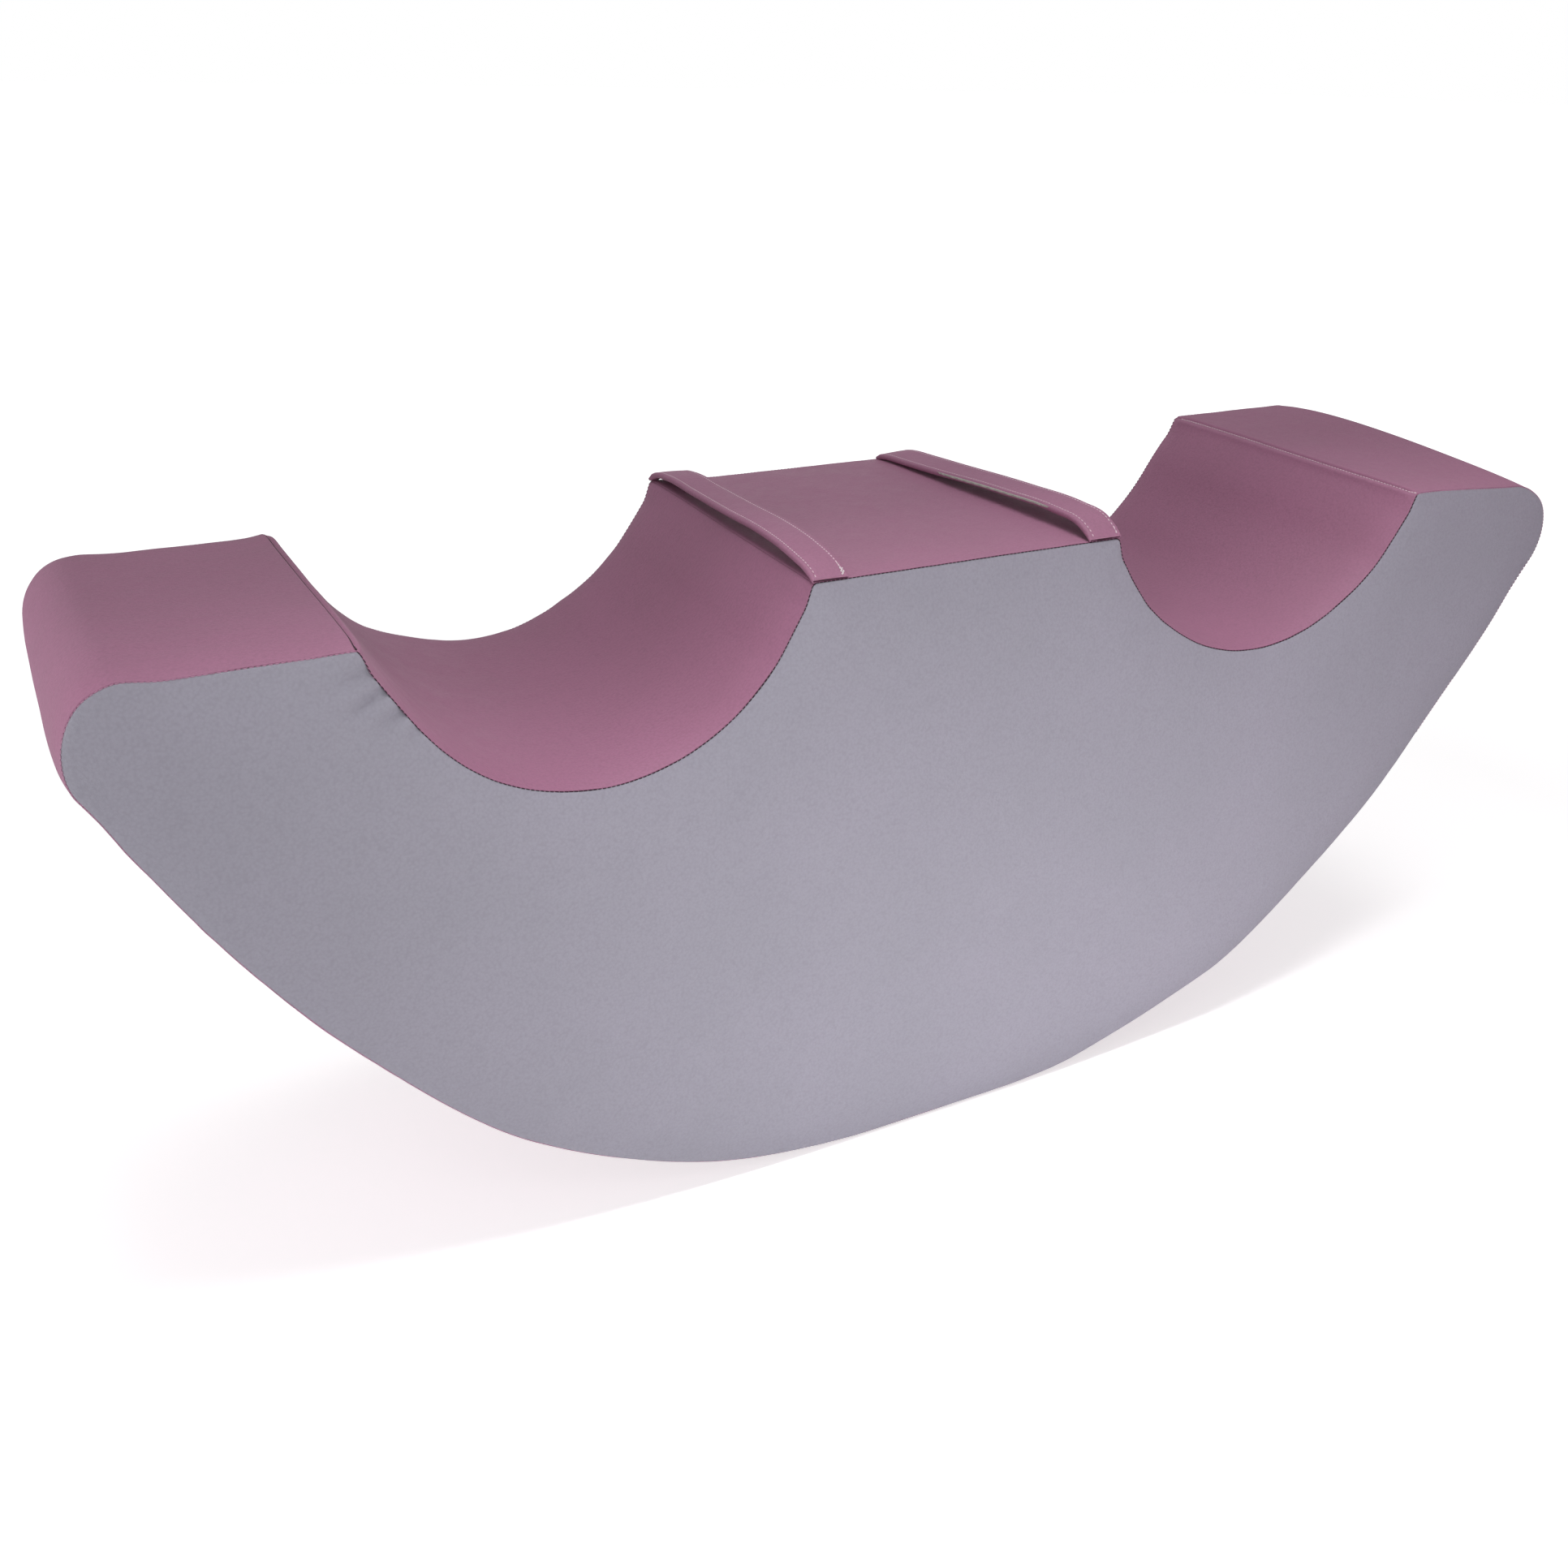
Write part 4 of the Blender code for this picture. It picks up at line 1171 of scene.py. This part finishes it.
def foam_band(u):
    """The foam's surface between its sides, as rows from -Y to +Y of y and depth at each u."""
    rim = HALF_WIDTH - SEAM_IN - FOAM_RIM_IN
    edge = [rim - inwards for inwards in FOAM_EDGE_ROWS]
    last = ZIP_Y - TAPE_HALF_GAP - TAPE_WIDTH - CHANNEL_ROOM - 0.004
    rows = [-y for y in edge] + list(np.linspace(FOAM_MIDDLE_IN - rim, last, FOAM_MIDDLE_ROWS)) + edge
    tapes_part = in_range(u, BOTTOM[0] + TAPE_END / 2, BOTTOM[1] - TAPE_END / 2, soft=0.006)
    coils_part = in_range(u, BOTTOM[0] + COIL_CHANNEL_END, BOTTOM[1] - COIL_CHANNEL_END, soft=0.004)
    band = []
    for y, tape, coil in [(y, 0.0, 0.0) for y in rows] + channel_rows():
        surface = FOAM_INSET + seam_drop(u, math.copysign(1, y), HALF_WIDTH - SEAM_IN - abs(y))
        depth = surface + (np.maximum(surface, TAPE_CHANNEL_DEPTH * tapes_part) - surface) * tape
        depth = depth + (COIL_CHANNEL_DEPTH * coils_part - depth) * coil * (coils_part > 0.01)
        band.append((y, depth))
    return sorted(band, key=lambda row: row[0])


def foam_block(material):
    """The contour-cut block under the cover, with the channel that the zip lies in."""
    u = stations(0.0, ROUND, FOAM_PITCH)[:-1]
    band = [place(u, y, depth) for y, depth in foam_band(u)]
    rows = len(band)
    points = [np.stack(band, axis=1).reshape(-1, 3)]
    faces = grid_faces(len(u), rows, closed=True)
    total = len(points[0])
    for side, row in ((-1, 0), (1, rows - 1)):
        inner = place(u, side * (HALF_WIDTH - SEAM_IN - FOAM_CORNER_IN), FOAM_RIM_DEPTH)
        inner[:, 1] -= side * fold_room(inner)
        spread = scattered(inner[:, [0, 2]], FOAM_GRID, FOAM_GRID, 0.0, FOAM_GRID / 2)
        distance, _ = nearest(spread, at(u)[:, :2], u)
        middle = np.stack([spread[:, 0], np.zeros(len(spread)), spread[:, 1]], axis=1)
        drawn = grey_draw(distance - SEAM_DEPTH)
        middle[:, 1] = side * (HALF_WIDTH - drawn - FOAM_INSET - fold_room(middle))
        added = []
        for index in range(len(u)):
            after = (index + 1) % len(u)
            ring = (row + index * rows, row + after * rows)
            added.append((*ring, total + after, total + index))
        for triangle in filled_loop(inner[:, [0, 2]], spread):
            added.append(tuple(total + corner for corner in triangle))
        faces += added if side < 0 else [face[::-1] for face in added]
        points += [inner, middle]
        total += len(inner) + len(middle)
    piece = add_mesh("foam_block", settle(np.vstack(points)), faces, material)
    return dress(piece, "foam", "foam_core")


# Materials

class Nodes:
    """A material's node tree with short calls for the nodes that the finishes share."""

    def __init__(self, name, roughness, metallic=0.0, specular=0.5):
        self.material = bpy.data.materials.new(name)
        self.material.use_nodes = True
        self.tree = self.material.node_tree
        self.shader = self.tree.nodes["Principled BSDF"]
        self.finish({"Roughness": roughness, "Metallic": metallic, "Specular IOR Level": specular})
        self.position = self.add("TexCoord", "Object", {})

    def fill(self, node, inputs):
        """Sets a node's inputs, each to a value or by a link from another node's output."""
        for socket, value in inputs.items():
            if isinstance(value, bpy.types.NodeSocket):
                self.tree.links.new(value, node.inputs[socket])
            else:
                node.inputs[socket].default_value = value

    def finish(self, inputs):
        self.fill(self.shader, inputs)

    def add(self, kind, output, inputs, **settings):
        """Adds a node with its settings and inputs, and gives one of its outputs."""
        node = self.tree.nodes.new("ShaderNode" + kind)
        for name, value in settings.items():
            setattr(node, name, value)
        self.fill(node, inputs)
        return node.outputs[output]

    def stretched(self, scale):
        return self.add("Mapping", "Vector", {"Vector": self.position, "Scale": scale})

    def noise(self, scale, detail=2.0, roughness=0.5, vector=None):
        vector = vector or self.position
        inputs = {"Vector": vector, "Scale": scale, "Detail": detail, "Roughness": roughness}
        return self.add("TexNoise", "Fac", inputs)

    def cells(self, scale, feature="SMOOTH_F1"):
        inputs = {"Vector": self.position, "Scale": scale}
        return self.add("TexVoronoi", "Distance", inputs, feature=feature)

    def waves(self, scale, direction, distortion=0.4):
        inputs = {"Vector": self.position, "Scale": scale, "Distortion": distortion}
        return self.add("TexWave", "Fac", inputs, bands_direction=direction)

    def span(self, value, low, high, start, end):
        """A number that goes from low to high as a value rises from start to end."""
        inputs = {"Value": value, "From Min": start, "From Max": end, "To Min": low, "To Max": high}
        return self.add("MapRange", "Result", inputs)

    def maths(self, operation, first, second):
        return self.add("Math", "Value", {0: first, 1: second}, operation=operation)

    def blend(self, value, start, end, share, first, second):
        """A colour that moves by a share from one to another as a value rises from start to end."""
        factor = self.span(value, 0.0, share, start, end)
        first, second = ((*tone, 1.0) if isinstance(tone, tuple) else tone for tone in (first, second))
        return self.add("Mix", 2, {"Factor": factor, 6: first, 7: second}, data_type="RGBA")

    def bump(self, height, distance, strength, before=None):
        """Relief on top of an earlier one, if there is one."""
        inputs = {"Height": height, "Distance": distance, "Strength": strength}
        if before is not None:
            inputs["Normal"] = before
        normal = self.add("Bump", "Normal", inputs)
        self.finish({"Normal": normal})
        return normal


def shade(colour, factor):
    return tuple(channel * factor for channel in colour)


def leather(name, colour, shifted, roughness):
    """Soft synthetic leather: pebbled grain with fine pores, faint creases and an uneven tone."""
    made = Nodes(name, roughness, specular=0.38)
    warped = made.noise(90.0)
    pebbles = made.cells(560.0)
    pores = made.noise(1700.0, 2.0, 0.6)
    creases = made.noise(210.0, 4.0, 0.65, made.stretched((1.0, 1.6, 0.8)))
    broad = made.noise(6.0, 3.0)
    cloudy = made.noise(38.0, 3.0)
    toned = made.blend(broad, 0.3, 0.7, 1.0, shade(colour, 0.965), shifted)
    clouded = made.blend(cloudy, 0.35, 0.65, 0.12, toned, shade(colour, 1.12))
    grained = made.blend(pebbles, 0.25, 0.75, 0.30, clouded, shade(colour, 0.70))
    rough = made.span(made.maths("ADD", cloudy, warped), roughness - 0.06, roughness + 0.07, 0.7, 1.3)
    made.finish({"Base Color": made.blend(pores, 0.45, 0.75, 0.16, grained, shade(colour, 0.70))})
    made.finish({"Roughness": rough, "Sheen Weight": 0.06, "Sheen Roughness": 0.5})
    grain = made.bump(made.maths("MULTIPLY_ADD", pebbles, -0.7), 0.0003, 0.8)
    creased = made.bump(creases, 0.0009, 0.5, grain)
    made.bump(pores, 0.00015, 0.45, creased)
    return made.material


def thread(name, colour):
    """Twisted sewing thread."""
    made = Nodes(name, 0.55, specular=0.4)
    twist = made.noise(2600.0, 1.0)
    toned = made.blend(made.noise(160.0), 0.3, 0.7, 1.0, shade(colour, 0.86), shade(colour, 1.08))
    made.finish({"Base Color": made.blend(twist, 0.4, 0.7, 0.35, toned, shade(colour, 0.6))})
    made.bump(twist, 0.0002, 0.6)
    return made.material


def woven(name, colour, scale, directions):
    """Plain woven tape or webbing with ribs in two directions."""
    made = Nodes(name, 0.85, specular=0.2)
    warp = made.waves(scale, directions[0])
    weft = made.waves(scale * 0.8, directions[1])
    weave = made.maths("MULTIPLY", warp, weft)
    fuzz = made.noise(900.0, 3.0, 0.7)
    toned = made.blend(weave, 0.1, 0.8, 1.0, shade(colour, 0.62), shade(colour, 1.06))
    made.finish({"Base Color": made.blend(fuzz, 0.4, 0.7, 0.25, toned, shade(colour, 0.8))})
    made.finish({"Sheen Weight": 0.15})
    made.bump(fuzz, 0.0001, 0.5, made.bump(weave, 0.0004, 0.7))
    return made.material


def foam_finish(colour):
    """Open-cell foam: small dark pores in a pale cream body."""
    made = Nodes("foam_cells", 0.95, specular=0.1)
    pores = made.cells(820.0, "F1")
    toned = made.blend(made.noise(55.0, 4.0), 0.3, 0.7, 1.0, shade(colour, 0.9), colour)
    made.finish({"Base Color": made.blend(pores, 0.3, 0.8, 0.5, toned, shade(colour, 0.55))})
    made.bump(pores, 0.0006, 0.8)
    return made.material


def nylon(name, colour):
    """Dyed nylon with fine specks."""
    made = Nodes(name, 0.38)
    specks = made.noise(700.0, 3.0)
    toned = made.blend(specks, 0.35, 0.65, 1.0, shade(colour, 0.85), shade(colour, 1.1))
    made.finish({"Base Color": toned, "Roughness": made.span(specks, 0.30, 0.48, 0.3, 0.7)})
    made.bump(specks, 0.00003, 0.4)
    return made.material


def zinc(colour):
    """Plated zinc: satin, with fine rubbing marks and duller patches."""
    made = Nodes("plated_zinc", 0.3, metallic=1.0)
    rubbed = made.noise(420.0, 4.0, 0.7, made.stretched((6.0, 1.0, 1.0)))
    patches = made.noise(150.0, 3.0)
    toned = made.blend(patches, 0.3, 0.7, 1.0, shade(colour, 0.82), shade(colour, 1.05))
    rough = made.span(made.maths("ADD", rubbed, patches), 0.22, 0.46, 0.7, 1.4)
    made.finish({"Base Color": toned, "Roughness": rough})
    made.bump(rubbed, 0.00004, 0.35)
    return made.material


def make_materials():
    return {
        "grey": leather("grey_leather", (0.364, 0.351, 0.414), (0.376, 0.356, 0.427), 0.60),
        "mauve": leather("mauve_leather", (0.416, 0.182, 0.289), (0.435, 0.184, 0.303), 0.56),
        "webbing": woven("webbing_weave", (0.80, 0.79, 0.72), 900.0, ("X", "Y")),
        "zip_tape": woven("zip_tape_weave", (0.23, 0.13, 0.18), 1300.0, ("DIAGONAL", "Y")),
        "coil": nylon("coil_nylon", (0.20, 0.11, 0.155)),
        "foam": foam_finish((0.80, 0.78, 0.70)),
        # Plum thread: real stitches, with the shade of the seat seams' grooves painted into their colour
        "thread_and_seam_shade": thread("plum_thread_and_seam_shade", (0.040, 0.014, 0.026)),
        "mauve_thread": thread("mauve_thread", (0.46, 0.24, 0.35)),
        "pale_thread": thread("rose_thread", (0.84, 0.64, 0.73)),
        "white_thread": thread("white_thread", (0.86, 0.84, 0.84)),
        "metal": zinc((0.62, 0.61, 0.60)),
    }


# The whole rocker

def cover(materials):
    mauve = materials["mauve"]
    grey_side("front_cover_side", "front_side_panel", -1, materials["grey"])
    grey_side("back_cover_side", "back_side_panel", 1, materials["grey"])
    mauve_panel("right_end_cover", "right_end_panel", SEAMS["right_end"], SEAMS["right_outer"], mauve)
    mauve_panel("right_seat_cover", "right_seat_panel", SEAMS["right_outer"], SEAMS["right_inner"], mauve)
    mauve_panel("centre_top_cover", "centre_top_panel", SEAMS["right_inner"], SEAMS["left_inner"], mauve)
    mauve_panel("left_seat_cover", "left_seat_panel", SEAMS["left_inner"], SEAMS["left_outer"], mauve)
    mauve_panel("left_end_cover", "left_end_panel", SEAMS["left_outer"], SEAMS["left_end"], mauve)
    mauve_panel("bottom_cover_wide", "bottom_panel_wide", *BOTTOM, mauve, far=ZIP_SLOT_NEAR)
    mauve_panel("bottom_cover_narrow", "bottom_panel_narrow", *BOTTOM, mauve, near=ZIP_SLOT_FAR)


def seam_threads(materials):
    dark = materials["thread_and_seam_shade"]
    mauve = materials["mauve_thread"]
    for side, word in ((-1, "front"), (1, "back")):
        for part, start, end, lift, thick, finish in (
            # the seat seams' plum thread carries painted shade of the seam groove
            ("seat", "right_outer", "left_outer", 0.00030, SEAT_THREAD, dark),
            ("right_end", "right_end", "right_outer", 0.0002, END_THREAD, mauve),
            ("left_end", "left_outer", "left_end", 0.0002, END_THREAD, mauve),
        ):
            name = f"{word}_{part}_seam_thread"
            side_seam_thread(name, side, SEAMS[start], SEAMS[end], lift, thick, finish)
        side_seam_thread(word + "_bottom_seam_thread", side, *BOTTOM, 0.0, THREAD, mauve)
    for name, seam, lift, length, thick, finish in (
        # pale stitches on the right block's seam, also a painted highlight along its raised ridge
        ("right", "right_outer", 0.00015, STITCH_LENGTH, TOPSTITCH_THREAD, materials["pale_thread"]),
        # the left block's dark stitches nearly touch, drawing a line of painted shade along the crease
        ("left", "left_outer", 0.0003, 0.97 * STITCH_PITCH, LIP_THREAD_AND_SHADE, dark),
    ):
        cross_seam_thread(name + "_block_seam_thread", SEAMS[seam], lift, length, thick, finish)


def handles(materials):
    left = -HALF_CENTRE_TOP
    right = HALF_CENTRE_TOP - STRAP_WIDTH
    left_line = strap("left", left, LEFT_STRAP_HEIGHTS, False, materials)
    right_line = strap("right", right, RIGHT_STRAP_HEIGHTS, True, materials)
    white = materials["white_thread"]
    back_tack("left_handle_tacks", left_line, left, LEFT_TACKS, white)
    back_tack("right_handle_tacks", right_line, right, RIGHT_TACKS, white)


def zip_parts(materials):
    zip_tape("zip_tape_cloth_wide", "zip_tape_wide", -1, materials["zip_tape"])
    zip_tape("zip_tape_cloth_narrow", "zip_tape_narrow", 1, materials["zip_tape"])
    zip_coil("zip_coil_turns_wide", "zip_coil_wide", -1, materials["coil"])
    zip_coil("zip_coil_turns_narrow", "zip_coil_narrow", 1, materials["coil"])
    zip_topstitch("zip_topstitch_wide", ZIP_SLOT_NEAR - ZIP_STITCH_IN, materials["mauve_thread"])
    zip_topstitch("zip_topstitch_narrow", ZIP_SLOT_FAR + ZIP_STITCH_IN, materials["mauve_thread"])
    for name in ("zip_slider", "zip_pull_tab", "zip_top_stop", "zip_bottom_stop"):
        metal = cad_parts[name]
        metal.data.materials.clear()
        metal.data.materials.append(materials["metal"])


# Floor, light and camera

def floor():
    """A pale floor that shows the rocker's soft shadow and blends with the white background."""
    mesh = bpy.data.meshes.new("floor")
    corners = [(FLOOR_HALF * x, FLOOR_HALF * y, 0.0) for x, y in ((-1, -1), (1, -1), (1, 1), (-1, 1))]
    mesh.from_pydata(corners, [], [(0, 1, 2, 3)])
    ground = bpy.data.objects.new("floor", mesh)
    ground.location.z = -FLOOR_DROP
    bpy.context.scene.collection.objects.link(ground)
    made = Nodes("pale_floor", 0.9, specular=0.1)
    distance = made.add("VectorMath", "Value", {0: made.position}, operation="LENGTH")
    glow = made.span(distance, FLOOR_GLOW, 1.0, *FLOOR_GLOW_REACH)
    seen = made.maths("MULTIPLY", glow, made.add("LightPath", "Is Camera Ray", {}))
    made.finish({"Base Color": (*FLOOR_COLOUR, 1.0)})
    made.finish({"Emission Color": (*WHITE, 1.0), "Emission Strength": seen})
    mesh.materials.append(made.material)


def white_surroundings():
    """Soft even light from all round, and plain white where a camera ray meets no object."""
    world = bpy.data.worlds.new("surroundings")
    bpy.context.scene.world = world
    world.use_nodes = True
    tree = world.node_tree
    tree.nodes.clear()
    ambient = tree.nodes.new("ShaderNodeBackground")
    ambient.inputs["Color"].default_value = (*WHITE, 1.0)
    ambient.inputs["Strength"].default_value = AMBIENT
    backdrop = tree.nodes.new("ShaderNodeBackground")
    backdrop.inputs["Color"].default_value = (*WHITE, 1.0)
    backdrop.inputs["Strength"].default_value = 1.0
    mix = tree.nodes.new("ShaderNodeMixShader")
    output = tree.nodes.new("ShaderNodeOutputWorld")
    path = tree.nodes.new("ShaderNodeLightPath")
    tree.links.new(path.outputs["Is Camera Ray"], mix.inputs["Fac"])
    tree.links.new(ambient.outputs["Background"], mix.inputs[1])
    tree.links.new(backdrop.outputs["Background"], mix.inputs[2])
    tree.links.new(mix.outputs["Shader"], output.inputs["Surface"])


def softbox(name, place_at, aim, width, height, power, colour, spread):
    lamp = bpy.data.lights.new(name, "AREA")
    lamp.shape = "RECTANGLE"
    lamp.size = width
    lamp.size_y = height
    lamp.energy = power
    lamp.color = colour
    lamp.spread = math.radians(spread)
    light = bpy.data.objects.new(name, lamp)
    light.location = place_at
    light.rotation_euler = (Vector(aim) - Vector(place_at)).to_track_quat("-Z", "Y").to_euler()
    light.visible_camera = False
    bpy.context.scene.collection.objects.link(light)


def lights():
    for name, place_at, aim, width, height, power, colour, spread in SOFTBOXES:
        softbox(name, place_at, aim, width, height, power, colour, spread)


def camera():
    """The camera as fitted to the photograph: place, heading, tilt, roll and focal length."""
    forward = Vector(
        (
            math.sin(CAMERA_YAW) * math.cos(CAMERA_PITCH),
            math.cos(CAMERA_YAW) * math.cos(CAMERA_PITCH),
            -math.sin(CAMERA_PITCH),
        )
    )
    level = Vector((math.cos(CAMERA_YAW), -math.sin(CAMERA_YAW), 0.0))
    raised = level.cross(forward)
    right = math.cos(CAMERA_ROLL) * level + math.sin(CAMERA_ROLL) * raised
    up = math.cos(CAMERA_ROLL) * raised - math.sin(CAMERA_ROLL) * level
    turned = Matrix((right, up, -forward)).transposed().to_4x4()
    lens = bpy.data.cameras.new("camera")
    lens.sensor_width = SENSOR
    lens.lens = FOCAL_PIXELS / IMAGE_SIZE * SENSOR
    seen = bpy.data.objects.new("camera", lens)
    seen.matrix_world = Matrix.Translation(CAMERA_PLACE) @ turned
    bpy.context.scene.collection.objects.link(seen)
    bpy.context.scene.camera = seen
    bpy.context.scene.view_settings.view_transform = "Standard"


camera()
finishes = make_materials()
cover(finishes)
seam_threads(finishes)
handles(finishes)
zip_parts(finishes)
foam_block(finishes["foam"])
floor()
white_surroundings()
lights()
